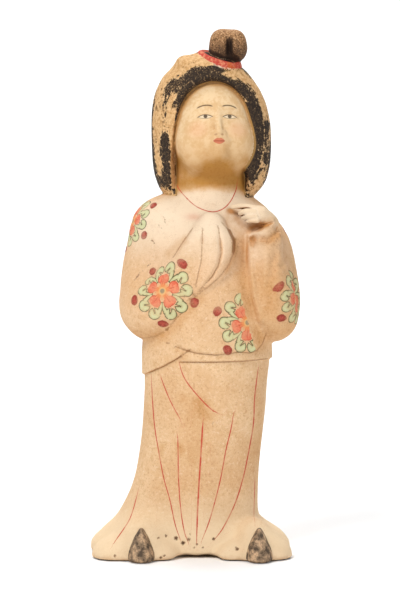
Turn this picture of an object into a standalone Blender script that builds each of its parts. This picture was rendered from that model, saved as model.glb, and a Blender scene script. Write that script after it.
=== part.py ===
"""Painted pottery court lady figure, standing, hollow-looking but modelled solid.

The whole figure is one moulded and fired piece. Its surface is where form()
is zero; form() joins the skirt, jacket, sleeves, neck, head, hair, bun, ribbon,
hand and shoes, each written from its own sizes. The figure faces -Y, +Z is up,
and the origin is at the middle of the footprint's box, on the ground.
Sizes in the tables are in millimetres, and the mesh is in metres.
"""
import bpy
import bmesh
import numpy as np

MIDDLE = (-0.1, -2.4)       # the point of the tables' plan that stands at the origin
BOX_LOW = (-96.0, -72.0, -8.0)      # the space that the surface is looked for in
BOX_HIGH = (96.0, 64.0, 416.0)
CELL_SIZE = 2.2             # the surface is found to this fineness, before thinning
VOXEL = 1.7                 # evens the skin out, and closes what a cell could not part
TRIANGLES = 9200            # of the finished solid
CLAY = (0.80, 0.62, 0.44, 1.0)

# ------------------------------------------------------------------ shapes
def smin(a, b, k):
    h = np.maximum(k - np.abs(a - b), 0.0) / k
    return np.minimum(a, b) - h * h * k * 0.25


def smax(a, b, k):
    return -smin(-a, -b, k)


def ease(x, lo, hi):
    t = np.clip((x - lo) / (hi - lo), 0.0, 1.0)
    return t * t * (3.0 - 2.0 * t)


def stations(rows, step=0.5):
    """Rows of (height, size, size, ...) joined by a smooth curve that never overshoots."""
    rows = np.array(rows, float)
    z, v = rows[:, 0], rows[:, 1:]
    h = np.diff(z)[:, None]
    d = np.diff(v, axis=0) / h
    m = np.zeros_like(v)
    m[0], m[-1] = d[0], d[-1]
    same = d[1:] * d[:-1] > 0
    w1, w2 = 2 * h[1:] + h[:-1], h[1:] + 2 * h[:-1]
    safe = np.where(same, d[1:] * d[:-1], 1.0)
    m[1:-1] = np.where(same, (w1 + w2) * safe / (w1 * d[1:] + w2 * d[:-1] + np.where(same, 0, 1)), 0.0)
    zz = np.arange(z[0], z[-1] + step / 2, step)
    k = np.clip(np.searchsorted(z, zz, side="right") - 1, 0, len(z) - 2)
    hh = (z[k + 1] - z[k])[:, None]
    t = ((zz - z[k])[:, None]) / hh
    out = ((1 + 2 * t) * (1 - t) ** 2 * v[k] + t * (1 - t) ** 2 * hh * m[k]
           + t * t * (3 - 2 * t) * v[k + 1] + t * t * (t - 1) * hh * m[k + 1])
    return zz, out


def at(table, z):
    zz, out = table
    return [np.interp(z, zz, out[:, c]) for c in range(out.shape[1])]


def oval(x, y, xl, xr, yf, yb, split=0.5):
    """Signed measure of an oval section given by its left, right, front and back reach."""
    cx, a = (xl + xr) / 2, (xr - xl) / 2
    cy = yf + (yb - yf) * split
    dx, dy = x - cx, y - cy
    b = np.where(dy < 0, cy - yf, yb - cy)
    k0 = np.sqrt((dx / a) ** 2 + (dy / b) ** 2) + 1e-4
    k1 = np.sqrt((dx / a ** 2) ** 2 + (dy / b ** 2) ** 2) + 1e-6
    return k0 * (k0 - 1) / k1


def ellipsoid(p, c, r, turn=None):
    d = p - np.array(c, float)
    if turn is not None:
        d = d @ turn
    r = np.array(r, float)
    k0 = np.sqrt(((d / r) ** 2).sum(-1)) + 1e-4
    k1 = np.sqrt(((d / r ** 2) ** 2).sum(-1)) + 1e-6
    return k0 * (k0 - 1) / k1


def limb(p, nodes, sub=4, k=0.0):
    """A tapering limb through (x, y, z, radius) nodes, smoothed by a Catmull-Rom spline."""
    n = np.array(nodes, float)
    if sub > 1:
        e = np.vstack([2 * n[0] - n[1], n, 2 * n[-1] - n[-2]])
        pts = []
        for i in range(1, len(e) - 2):
            for t in np.arange(sub) / sub:
                pts.append(0.5 * (2 * e[i] + (e[i + 1] - e[i - 1]) * t
                                  + (2 * e[i - 1] - 5 * e[i] + 4 * e[i + 1] - e[i + 2]) * t * t
                                  + (3 * e[i] - e[i - 1] - 3 * e[i + 1] + e[i + 2]) * t ** 3))
        n = np.array(pts + [e[-2]])
    best = None
    for a, b in zip(n[:-1], n[1:]):
        ab = b[:3] - a[:3]
        t = np.clip(((p - a[:3]) @ ab) / (ab @ ab), 0, 1)
        d = np.sqrt(((p - a[:3] - t[:, None] * ab) ** 2).sum(-1)) - (a[3] + (b[3] - a[3]) * t)
        best = d if best is None else np.minimum(best, d)
    return best


def line2(x, z, pts):
    """Distance in the front view to a line through points (x, z), and how far along it (0 to 1)."""
    pts = np.array(pts, float)
    seg = np.sqrt((np.diff(pts, axis=0) ** 2).sum(1))
    start = np.concatenate([[0], np.cumsum(seg)])
    best, along = None, None
    for i, (a, b) in enumerate(zip(pts[:-1], pts[1:])):
        ab = b - a
        t = np.clip(((x - a[0]) * ab[0] + (z - a[1]) * ab[1]) / (ab @ ab), 0, 1)
        d = np.hypot(x - a[0] - t * ab[0], z - a[1] - t * ab[1])
        s = (start[i] + t * seg[i]) / start[-1]
        if best is None:
            best, along = d, s
        else:
            along = np.where(d < best, s, along)
            best = np.minimum(best, d)
    return best, along


def groove(x, z, pts, width, depth, taper=0.25):
    d, s = line2(x, z, pts)
    ends = ease(s, 0, taper) * ease(1 - s, 0, taper) if taper > 0 else 1.0
    return depth * np.exp(-(d / width) ** 2) * ends


def turned(pitch, yaw, roll=0.0):
    """Columns are a head's own axes: right, back (away from the face) and up."""
    cp, sp, cy, sy, cr, sr = (f(np.radians(v)) for v in (pitch, yaw, roll) for f in (np.cos, np.sin))
    rx = np.array([[1, 0, 0], [0, cp, -sp], [0, sp, cp]])     # + pitch
    rz = np.array([[cy, -sy, 0], [sy, cy, 0], [0, 0, 1]])
    ry = np.array([[cr, 0, sr], [0, 1, 0], [-sr, 0, cr]])
    return rz @ rx @ ry


# ------------------------------------------------------------------ sizes, in millimetres
# height, left, right, front and back reach of the skirt and trunk
TRUNK = stations([
    (-14, -79, 71, -32, 52), (-6, -81.5, 73.5, -33, 54.5), (3, -82.6, 75, -33.5, 55.5), (7, -82.4, 74.4, -33.5, 55), (11.4, -80, 72, -33.5, 53.5),
    (16, -75.3, 67.9, -33.5, 51.5), (20.7, -70.6, 61.5, -33.5, 49.5), (25.4, -65.4, 54.6, -33.5, 47.5), (30, -61.4, 50.4, -33.5, 45.5),
    (35, -58.3, 49.4, -33.5, 43.5), (44, -53.6, 49.2, -34, 41), (53.5, -49.6, 49.4, -34.5, 39), (63, -46.8, 49.8, -35, 37.5),
    (77, -44.2, 50.9, -36, 36), (95.6, -41.8, 53, -37.5, 35), (119, -40.2, 55.4, -39, 34), (133, -39.6, 56.2, -40, 34),
    (157, -39.8, 58.4, -42.5, 36), (175, -38.5, 57.5, -44, 38), (195, -37, 56, -44, 39.5), (212, -34, 54, -44, 40.5),
    (232, -32, 52, -41, 41), (250, -33, 52, -35.5, 39.5), (261, -31, 49, -30, 36), (269, -25, 43, -25, 31),
    (276, -15, 33, -19, 25), (283, -5, 24, -15, 20), (289, 4, 18, -10, 14)])
SLEEVE_L = [(-22, 8, 251.3, 29.6), (-27, 6, 240, 26.5), (-31.5, 4, 225, 25.2), (-33.4, -4, 206, 25.2), (-31.8, -14, 193, 25.8), (-18, -26.5, 202, 22),
            (-3, -34, 217, 18), (8.5, -37.5, 234, 14.5)]
FAN = ([(9.5, -37.5, 259.5, 4.8), (1.0, -41.5, 247, 7.0), (-5.5, -42, 234, 9.3), (-11, -38.5, 220, 11), (-16, -34, 208, 11)],
       [(12.5, -38.5, 261, 4.8), (12.2, -44.6, 247, 7.8), (12.4, -46.4, 235, 8.8), (9, -45, 224, 9.4), (1.5, -42, 213, 9.5)],
       [(15.5, -37.5, 259.5, 4.8), (20.8, -41.5, 245.5, 8.5), (19.8, -43, 234, 8.6), (13.5, -42, 222.5, 8.4), (3.5, -39, 212.5, 8.2), (-6, -36, 203, 9)])
SLEEVE_R = [(36.3, 8, 249.5, 29), (48.5, 6, 237, 27), (55.2, 4, 217, 25), (59.3, -1, 199, 23), (59.8, -10, 187.2, 20.6), (59.5, -20, 193, 19.8),
            (57.5, -27, 213, 17.3), (55.5, -31, 231, 14.0), (57, -29, 248, 10.5)]
HEAD_C, HEAD_R, HEAD_TURN = (13.9, -1, 334), (30.2, 31, 37.5), turned(-13, 7, 0)
HAIR = stations([
    (272, -6, 32, -6, 22), (276, -16, 41, -11, 30), (280, -22.5, 46, -15, 34), (284, -26.4, 49.8, -18, 38), (288.5, -29, 53.4, -21, 40),
    (293, -30.6, 55.8, -23, 41.5), (297.4, -32, 57.2, -24, 42.5), (307, -33.4, 59.0, -25.2, 44), (320, -34.1, 59.7, -26, 45.5), (333, -34.4, 59.4, -26, 45.5),
    (344, -34.2, 57.7, -25.5, 44.5), (353, -33.2, 55.4, -24.8, 43), (358.6, -32, 53, -24, 40.5), (363.3, -30.4, 50.7, -23, 38), (368, -28.2, 47.6, -21.6, 35),
    (372.7, -25.6, 44.2, -19.5, 31), (377.4, -21.3, 40.2, -17, 26.5), (382, -16, 34, -13.5, 21), (386.5, -8, 26, -9, 15), (390, 2, 18, -3, 8)])
BUN_C, BUN_R = (25.6, 0, 397.6), (12.8, 12.8, 12.2)
BUN_LOBES = [((20.8, -1, 394.8), (10.2, 14.2, 12.0)), ((30.8, -1, 395.2), (10.0, 14.4, 11.4)), ((24.6, 1, 389), (10.4, 13, 8)),
             ((20.6, 0, 402.0), (8.6, 11.5, 8.2)), ((31.2, 0, 401.6), (8.0, 11.5, 8.0))]
BAND_C, BAND_R, BAND_TUBE = (18.7, 0.5, 384.9), (15.6, 15.8), 2.6
BAND_TURN = turned(13, 0, 17)
SHOES = [(-41.2, -47.0), (49.2, -47.0)]


def jacket_edge(x, y):
    """Height of the jacket's lower edge: it climbs from the left side to the middle, then runs level."""
    front = np.interp(x, [-60, -40, -35, -24, -14, -9.5], [139, 141, 144, 149.5, 155.5, 158.5])
    front = np.where(x < -9.6, front, 153.4)
    w = ease(y, 0, 18)
    return front * (1 - w) + 147.0 * w


def belly_edge(x):
    return np.interp(x, [-20, -9.5, 2, 15.5, 26, 34.4, 42, 47.5, 52, 60],
                     [170, 163.5, 160.4, 159.2, 160.2, 161.3, 160, 161.5, 165, 172])


def fields(p):
    x, y, z = p[:, 0], p[:, 1], p[:, 2]
    f = {}
    front = ease(-y, -6, 8)
    # skirt and trunk
    xl, xr, yf, yb = at(TRUNK, z)
    body = oval(x, y, xl, xr, yf, yb, 0.52)
    body = smax(body, z - 289, 4)
    # feet under the cloth, low and wide
    left_foot = ellipsoid(p, (-41, -24, 0), (25, 27, 34))
    right_foot = ellipsoid(p, (46, -24, 0), (19, 27, 30))
    body = smin(smin(body, left_foot, 10), right_foot, 9)
    for c, r in (((-61, -26, 2), (19, 22, 16)), ((57, -26, 2), (17, 22, 17)), ((65.5, -27, 0), (8, 14, 12)), ((-26, -33, 1), (13, 13, 12)), ((29, -34, 1), (13, 12.5, 12))):
        body = smin(body, ellipsoid(p, c, r), 6)
    # the jacket's thickness over the skirt
    lift = 2.0 * ease(z - jacket_edge(x, y), -0.5, 0.6)
    inner = smin(z - belly_edge(x), 56.5 - x, 8)
    lift = lift + 2.2 * ease(inner, -0.6, 0.8) * ease(x, -17, -8) * front * (1 - ease(z, 196, 232))
    body = body - lift
    # dents and a soft trough in the skirt
    body = body + 1.0 * np.exp(-(line2(x, z, [(5, 114), (8, 110), (10, 107)])[0] / 3.0) ** 2) * front
    body = body + 0.7 * np.exp(-((x - 12) / 7) ** 2 - ((z - 128) / 9) ** 2) * front
    body = body - 1.0 * np.exp(-((x + 6) / 16) ** 2 - ((z - 92) / 26) ** 2) * front
    # long shallow flutes of the skirt that fade upwards
    flute = 0.55 * np.cos((x - 3) / 8.2) * ease(z, 110, 30) * ease(z, 4, 16) * front
    body = body - flute
    f["body"] = body
    # sleeves
    left = limb(p, SLEEVE_L)
    fan = None
    for nodes in FAN:
        d = limb(p, nodes)
        fan = d if fan is None else smin(fan, d, 9)
    g = groove(x, z, [(-1.9, 255.3), (-6.5, 248.8), (-12.1, 240.5), (-16.7, 233.1)], 1.5, 1.3)
    left = left + g * ease(-y, 12, 24)
    g = g + groove(x, z, [(5.6, 257), (5.3, 240.5), (4.8, 231.2), (2.7, 222), (0, 207)], 1.6, 1.7, 0.3)
    g = g + groove(x, z, [(17.0, 259), (19.3, 246), (20.0, 236.8), (18.0, 227.5), (12.6, 218.2), (3.0, 208)], 1.5, 1.7, 0.3)
    f["fan"] = fan + g * ease(-y, 12, 24)
    right = limb(p, SLEEVE_R)
    ridge, _ = line2(x, z, [(41, 248), (41.8, 236), (43, 222), (45, 204), (50.3, 185)])
    right = right - 2.4 * np.exp(-(ridge / 2.6) ** 2) * ease(-y, 10, 24)
    cuff, _ = line2(x, z, [(63, 267), (60, 258.5), (52, 252.5), (42, 250.5)])
    right = right - 2.2 * np.exp(-(cuff / 2.4) ** 2) * ease(-y, 12, 24)
    g = groove(x, z, [(47, 246), (55, 246), (61, 250), (66, 259)], 2.4, 2.6)
    g = g + groove(x, z, [(64, 246), (60, 232), (57, 214), (57, 196), (61, 182)], 3.2, 1.9)
    g = g + groove(x, z, [(49, 240), (47.5, 226), (50, 210), (53, 194)], 3.4, 1.6)
    g = g + groove(x, z, [(70, 254), (70, 238), (66, 222)], 3.0, 1.5)
    g = g + groove(x, z, [(75, 240), (73, 226), (66, 214)], 2.2, 1.0)
    right = right + g * ease(-y, 4, 20)
    f["left"], f["right"] = left, right
    f["neck"] = smax(oval(x, y, -15.0, 39.5, -17.5 - 3.5 * ease(z, 282, 264), 27, 0.5), z - 318, 6)
    # head, in its own axes q: right, back and up
    q = (p - np.array(HEAD_C)) @ HEAD_TURN
    f["q"] = q
    def own(c, r):
        return ellipsoid(q, c, r)
    head = own((0, 0, 0), HEAD_R)
    for side in (-1, 1):
        head = smin(head, own((side * 13.2, -8.5, -17.5), (16.4, 19.5, 19)), 9)
    head = smin(head, own((0, -15, -26), (13, 14.5, 11)), 9)
    head = smin(head, own((0, -5, -29), (21.5, 18.5, 10.5)), 8)
    for side in (-1, 1):                                     # eye sockets and lids
        head = head + 1.5 * np.exp(-((q[:, 0] - side * 9.5) / 6.5) ** 2 - ((q[:, 2] - 1.5) / 4.6) ** 2) * (q[:, 1] < 0)
        head = smin(head, own((side * 10.0, -23.6, 0.2), (6.8, 5.4, 3.4)), 1.6)
    nose = limb(q, [(0, -28.4, 4, 2.0), (0, -30.6, -3, 2.2), (0, -33.2, -9.5, 2.7), (0, -33.6, -12.4, 2.9)], 3)
    for side in (-1, 1):
        nose = smin(nose, own((side * 3.3, -30.8, -12.8), (2.2, 2.8, 2.1)), 1.6)
    head = smin(head, nose, 3.0)
    head = smin(head, own((0, -28.6, -19.0), (7.5, 5.2, 6.0)), 5)
    head = smin(head, own((0, -32.4, -18.7), (4.6, 2.4, 1.35)), 0.9)
    head = smin(head, own((0, -31.6, -21.6), (3.9, 2.5, 1.7)), 0.9)
    head = smin(head, own((0, -27.5, -29), (6.0, 5.0, 5.0)), 5)
    f["head"] = head
    # hair: a thick shell with an opening for the face and neck
    xl, xr, yf, yb = at(HAIR, z)
    hair = oval(x, y, xl, xr, yf, yb, 0.5)
    hair = smax(hair, z - 389, 3)
    hair = smax(hair, 273 - z, 4)
    w = ease(z, 305, 340)
    mouth = oval(x, y, -15.2 - 2.6 * (1 - w), 42.4 - 4.6 * (1 - w) + 3.2 * ease(z, 306, 292), -70 + 0 * z, 10 + 8 * w, 0.72)
    mouth = smax(mouth, z - 338, 10)
    dome = ellipsoid(p, (14.6, -26, 336), (28.9, 38, 35.0))
    hair = smax(hair, -smin(mouth, dome, 6), 5.5)
    hair = smin(hair, ellipsoid(p, (-0.5, 0, 379.5), (15.5, 17, 9.5), turned(0, 0, 22)), 6)
    hair = smin(hair, ellipsoid(p, (16, 1, 380.8), (18.5, 18, 8.5), turned(6, 0, 20)), 6)
    # the coils of hair that hang at the sides are rolled under at the neck
    f["hair"] = hair
    bun = ellipsoid(p, BUN_C, BUN_R)
    for c, r in BUN_LOBES:
        bun = smin(bun, ellipsoid(p, c, r), 2.5)
    cleft, s = line2(x, z, [(26.2, 402.0), (26.7, 394), (27.0, 382)])
    bun = bun + 5.2 * np.exp(-(cleft / (2.3 + 2.6 * ease(z, 402, 386))) ** 2) * ease(-y, -1, 8) * ease(s, -0.1, 0.3)
    for pts in ([(17.5, 403), (15.5, 397), (17, 388)], [(33, 402), (34.5, 395), (32, 386)]):
        bun = bun + 1.0 * np.exp(-(line2(x, z, pts)[0] / 1.6) ** 2) * ease(-y, 2, 12)
    f["bun"] = bun
    b = (p - np.array(BAND_C)) @ BAND_TURN
    ring = np.hypot(b[:, 0] / BAND_R[0], b[:, 1] / BAND_R[1])
    rad = (ring - 1) * (BAND_R[0] + BAND_R[1]) / 2
    f["band"] = np.hypot(rad, b[:, 2] / 1.65) - BAND_TUBE + 0.7 * np.exp(-(b[:, 2] / 0.6) ** 2)
    f["core"] = np.maximum(rad, np.abs(b[:, 2] + 2) - 4)
    # shoes: upturned toes, pointed leaves with a soft keel
    shoe = None
    for sx, sy in SHOES:
        dx = x - sx
        half = np.interp(z, [-4, 0, 3, 7, 11, 15, 19, 22, 24.5, 26.5], [9.0, 9.6, 10.1, 9.7, 8.5, 6.9, 5.1, 3.6, 2.2, 1.2])
        reach = np.interp(z, [-4, 0, 4, 10, 18, 25, 28], [12.5, 13.5, 13.6, 12.2, 10, 7.4, 6.0])
        s = (np.sqrt((dx / half) ** 2 + ((y - sy) / reach) ** 2 + 1e-4) - 1) * np.minimum(half, reach)
        s = smax(s, z - 26.0, 1.5)
        s = smax(s, y - sy - 2, 2)
        shoe = s if shoe is None else np.minimum(shoe, s)
    f["shoe"] = shoe
    # hand: back of the hand, a pointing finger and three curled ones
    hand = limb(p, [(58.5, -25.5, 259, 6.2), (55.5, -29.5, 262.5, 6.0), (51, -32.5, 266.2, 5.8)], 1)
    hand = smin(hand, ellipsoid(p, (47.8, -34.5, 266.6), (6.4, 5.0, 6.0)), 3)
    for nodes in ([(46, -35.5, 270.4, 2.7), (37.5, -33.2, 272.2, 2.3), (28.5, -29, 271.6, 1.7)],
                  [(45.5, -38.0, 267.8, 2.5), (38.8, -37.6, 268.2, 2.3), (34.8, -34.2, 266.9, 2.0)],
                  [(46.5, -38.4, 264.6, 2.4), (41, -38.2, 264.6, 2.3), (37.4, -35.0, 263.4, 2.0)],
                  [(47.5, -38.0, 261.6, 2.3), (43.2, -37.6, 261.6, 2.2), (40.2, -35.0, 260.8, 1.8)]):
        hand = smin(hand, limb(p, nodes), 0.7)
    f["hand"] = hand
    return f


def form(p, parts=False):
    f = fields(p)
    x, y, z = p[:, 0], p[:, 1], p[:, 2]
    t = smin(f["body"], f["neck"], 12)
    high = ease(z, 205, 240)
    t = smin(t, f["left"], 4 + 14 * high)
    t = smin(t, f["fan"], 2.5 + 8 * ease(z, 250, 262))
    t = smin(t, f["right"], 4 + 5 * ease(z, 195, 215) + 7 * ease(z, 240, 258))
    # hollow of the right cuff under the hand
    t = smax(t, -ellipsoid(p, (48.5, -41, 257), (7.0, 6.6, 3.0), turned(0, 0, -20)), 3.0)
    t = smin(t, f["hand"], 1.4)
    t = smin(t, f["shoe"], 1.2)
    h = smin(f["hair"], f["core"], 4)
    h = smin(h, f["bun"], 2.0)
    h = smin(h, f["band"], 1.2)
    head = smin(f["head"], f["neck"], 8)
    h = smin(h, head, 1.2)
    t = smin(t, h, 2.0)
    # shallow arch in the hem between the feet
    arch = smin(ellipsoid(p, (-6.5, -50, -9), (15.5, 38, 14.5)), ellipsoid(p, (9.5, -50, -9), (15.5, 38, 14.8)), 6)
    t = smax(t, -arch, 1.5)
    return (t, f) if parts else t


# ------------------------------------------------------------------ from form to faces
CELL = np.array([[i, j, k] for i in (0, 1) for j in (0, 1) for k in (0, 1)], np.int64)


def skin(size, levels=3):
    """Points and four-sided faces along form() = 0: one point in each cell that the surface crosses."""
    low, high = np.array(BOX_LOW), np.array(BOX_HIGH)
    s = size * 2 ** levels
    n = np.ceil((high - low) / s).astype(int)
    cells = np.stack(np.meshgrid(*[np.arange(k) for k in n], indexing="ij"), -1).reshape(-1, 3)
    for level in range(levels + 1):                        # halve the cells, keeping those near the surface
        near = np.abs(form(low + (cells + 0.5) * s)) < 1.5 * s + 1.0
        cells = cells[near]
        if level < levels:
            cells = (cells[:, None, :] * 2 + CELL[None]).reshape(-1, 3)
            s /= 2

    def key(c):
        return (c[..., 0] * 4096 + c[..., 1]) * 4096 + c[..., 2] + 8

    cells = cells[np.argsort(key(cells))]
    corners = (cells[:, None, :] + CELL[None]).reshape(-1, 3)
    _, first, back = np.unique(key(corners), return_index=True, return_inverse=True)
    value = form(low + corners[first] * s)[back.reshape(-1)].reshape(-1, 8)
    crossed = (value < 0).any(1) & (value >= 0).any(1)
    cells, value = cells[crossed], value[crossed]
    keys = key(cells)
    place, hits = np.zeros((len(cells), 3)), np.zeros(len(cells))
    for a in range(8):
        for b in range(a + 1, 8):
            if np.abs(CELL[a] - CELL[b]).sum() != 1:
                continue
            cut = (value[:, a] < 0) != (value[:, b] < 0)
            t = value[cut, a] / (value[cut, a] - value[cut, b])
            place[cut] += CELL[a] + (CELL[b] - CELL[a]) * t[:, None]
            hits[cut] += 1
    points = low + (cells + place / hits[:, None]) * s
    faces = []
    for along in range(3):                                 # a face across each cell edge that is crossed
        step = np.eye(3, dtype=np.int64)
        u, v = step[(along + 1) % 3], step[(along + 2) % 3]
        end = 4 >> along
        cut = (value[:, 0] < 0) != (value[:, end] < 0)
        c = cells[cut]
        quad = np.stack([np.minimum(np.searchsorted(keys, key(c - d)), len(keys) - 1) for d in (0 * u, u, u + v, v)], 1)
        whole = np.all([keys[quad[:, i]] == key(c - d) for i, d in enumerate((0 * u, u, u + v, v))], axis=0)
        quad[value[cut, 0] >= 0] = quad[value[cut, 0] >= 0][:, ::-1]
        faces.append(quad[whole])
    return points, np.concatenate(faces)


def settle(points, reach=0.3, most=2.0):
    """Moves each point along the form's slope onto its surface."""
    corners = np.array([[1, -1, -1], [-1, -1, 1], [-1, 1, -1], [1, 1, 1]], float) * reach
    for _ in range(2):
        value = [form(points + c) for c in corners]
        slope = sum(v[:, None] * c for v, c in zip(value, corners)) / (4 * reach * reach)
        step = -(sum(value) / 4 / ((slope ** 2).sum(1) + 1e-6))[:, None] * slope
        length = np.sqrt((step ** 2).sum(1)) + 1e-9
        points = points + step * np.minimum(1.0, most / length)[:, None]
    return points


def build():
    for old in list(bpy.data.objects):
        bpy.data.objects.remove(old)

    points, faces = skin(CELL_SIZE)
    points = (settle(points) - np.array([MIDDLE[0], MIDDLE[1], 0.0])) / 1000.0
    mesh = bpy.data.meshes.new("court_lady_figure")
    bm = bmesh.new()
    verts = [bm.verts.new(point) for point in points]
    for face in faces:
        bm.faces.new([verts[i] for i in face])
    bmesh.ops.delete(bm, geom=[v for v in bm.verts if not v.link_faces], context="VERTS")
    bmesh.ops.holes_fill(bm, edges=[e for e in bm.edges if e.is_boundary])
    bm.to_mesh(mesh)
    bm.free()

    figure = bpy.data.objects.new("court_lady_figure", mesh)
    bpy.context.collection.objects.link(figure)

    even = figure.modifiers.new("even_skin", "REMESH")
    even.mode = "VOXEL"
    even.voxel_size = VOXEL / 1000.0
    graph = bpy.context.evaluated_depsgraph_get()
    even_mesh = figure.evaluated_get(graph).to_mesh()
    count = sum(len(face.vertices) - 2 for face in even_mesh.polygons)
    figure.evaluated_get(graph).to_mesh_clear()
    thin = figure.modifiers.new("fewer_faces", "DECIMATE")
    thin.ratio = TRIANGLES / count
    thin.use_collapse_triangulate = True

    # flat underside: everything under the ground is cut away
    ground_mesh = bpy.data.meshes.new("ground_cutter")
    slab = bmesh.new()
    bmesh.ops.create_cube(slab, size=1.0)
    bmesh.ops.scale(slab, vec=(0.4, 0.4, 0.04), verts=slab.verts)
    bmesh.ops.translate(slab, vec=(0, 0, -0.02), verts=slab.verts)
    slab.to_mesh(ground_mesh)
    slab.free()
    ground = bpy.data.objects.new("ground_cutter", ground_mesh)
    bpy.context.collection.objects.link(ground)
    ground.hide_render = True
    ground.display_type = "WIRE"
    cut = figure.modifiers.new("flat_base", "BOOLEAN")
    cut.operation = "DIFFERENCE"
    cut.solver = "EXACT"
    cut.object = ground

    clay = bpy.data.materials.new("painted_clay")
    clay.use_nodes = True
    shader = clay.node_tree.nodes["Principled BSDF"]
    shader.inputs["Base Color"].default_value = CLAY
    shader.inputs["Roughness"].default_value = 0.75
    shader.inputs["Metallic"].default_value = 0.0
    mesh.materials.append(clay)
    mesh.shade_smooth()
    mesh.set_sharp_from_angle(angle=np.radians(50))
    return figure


build()
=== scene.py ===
"""The looks of the painted pottery court lady figure: its fine surface, its worn
paint, and the studio around it. Sizes in the tables are in millimetres, measured
from the middle of the figure's footprint before the small shift MIDDLE."""

import math

import bpy
import numpy as np
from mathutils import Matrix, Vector


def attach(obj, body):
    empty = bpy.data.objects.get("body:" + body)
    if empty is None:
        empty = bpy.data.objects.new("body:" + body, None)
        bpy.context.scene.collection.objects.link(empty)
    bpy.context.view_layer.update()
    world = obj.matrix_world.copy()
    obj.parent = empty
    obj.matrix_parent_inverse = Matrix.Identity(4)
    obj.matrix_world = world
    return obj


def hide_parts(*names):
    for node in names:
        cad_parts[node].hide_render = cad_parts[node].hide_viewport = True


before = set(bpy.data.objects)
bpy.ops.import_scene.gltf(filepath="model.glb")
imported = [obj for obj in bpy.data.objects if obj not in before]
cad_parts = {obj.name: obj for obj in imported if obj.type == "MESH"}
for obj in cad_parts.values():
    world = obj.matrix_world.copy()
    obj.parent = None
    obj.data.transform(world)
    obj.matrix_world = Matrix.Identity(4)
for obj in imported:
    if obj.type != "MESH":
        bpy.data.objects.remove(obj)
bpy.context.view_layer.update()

NODE = "court_lady_figure"
MIDDLE = (-0.1, -2.4)       # the point of the tables' plan that stands at the origin


# ------------------------------------------------------------------ shapes
def smin(a, b, k):
    h = np.maximum(k - np.abs(a - b), 0.0) / k
    return np.minimum(a, b) - h * h * k * 0.25


def smax(a, b, k):
    return -smin(-a, -b, k)


def ease(x, lo, hi):
    t = np.clip((x - lo) / (hi - lo), 0.0, 1.0)
    return t * t * (3.0 - 2.0 * t)


def stations(rows, step=0.5):
    """Rows of (height, size, size, ...) joined by a smooth curve that never overshoots."""
    rows = np.array(rows, float)
    z, v = rows[:, 0], rows[:, 1:]
    h = np.diff(z)[:, None]
    d = np.diff(v, axis=0) / h
    m = np.zeros_like(v)
    m[0], m[-1] = d[0], d[-1]
    same = d[1:] * d[:-1] > 0
    w1, w2 = 2 * h[1:] + h[:-1], h[1:] + 2 * h[:-1]
    safe = np.where(same, d[1:] * d[:-1], 1.0)
    m[1:-1] = np.where(same, (w1 + w2) * safe / (w1 * d[1:] + w2 * d[:-1] + np.where(same, 0, 1)), 0.0)
    zz = np.arange(z[0], z[-1] + step / 2, step)
    k = np.clip(np.searchsorted(z, zz, side="right") - 1, 0, len(z) - 2)
    hh = (z[k + 1] - z[k])[:, None]
    t = ((zz - z[k])[:, None]) / hh
    out = ((1 + 2 * t) * (1 - t) ** 2 * v[k] + t * (1 - t) ** 2 * hh * m[k]
           + t * t * (3 - 2 * t) * v[k + 1] + t * t * (t - 1) * hh * m[k + 1])
    return zz, out


def at(table, z):
    zz, out = table
    return [np.interp(z, zz, out[:, c]) for c in range(out.shape[1])]


def oval(x, y, xl, xr, yf, yb, split=0.5):
    """Signed measure of an oval section given by its left, right, front and back reach."""
    cx, a = (xl + xr) / 2, (xr - xl) / 2
    cy = yf + (yb - yf) * split
    dx, dy = x - cx, y - cy
    b = np.where(dy < 0, cy - yf, yb - cy)
    k0 = np.sqrt((dx / a) ** 2 + (dy / b) ** 2) + 1e-4
    k1 = np.sqrt((dx / a ** 2) ** 2 + (dy / b ** 2) ** 2) + 1e-6
    return k0 * (k0 - 1) / k1


def ellipsoid(p, c, r, turn=None):
    d = p - np.array(c, float)
    if turn is not None:
        d = d @ turn
    r = np.array(r, float)
    k0 = np.sqrt(((d / r) ** 2).sum(-1)) + 1e-4
    k1 = np.sqrt(((d / r ** 2) ** 2).sum(-1)) + 1e-6
    return k0 * (k0 - 1) / k1


def limb(p, nodes, sub=4, k=0.0):
    """A tapering limb through (x, y, z, radius) nodes, smoothed by a Catmull-Rom spline."""
    n = np.array(nodes, float)
    if sub > 1:
        e = np.vstack([2 * n[0] - n[1], n, 2 * n[-1] - n[-2]])
        pts = []
        for i in range(1, len(e) - 2):
            for t in np.arange(sub) / sub:
                pts.append(0.5 * (2 * e[i] + (e[i + 1] - e[i - 1]) * t
                                  + (2 * e[i - 1] - 5 * e[i] + 4 * e[i + 1] - e[i + 2]) * t * t
                                  + (3 * e[i] - e[i - 1] - 3 * e[i + 1] + e[i + 2]) * t ** 3))
        n = np.array(pts + [e[-2]])
    best = None
    for a, b in zip(n[:-1], n[1:]):
        ab = b[:3] - a[:3]
        t = np.clip(((p - a[:3]) @ ab) / (ab @ ab), 0, 1)
        d = np.sqrt(((p - a[:3] - t[:, None] * ab) ** 2).sum(-1)) - (a[3] + (b[3] - a[3]) * t)
        best = d if best is None else np.minimum(best, d)
    return best


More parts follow.
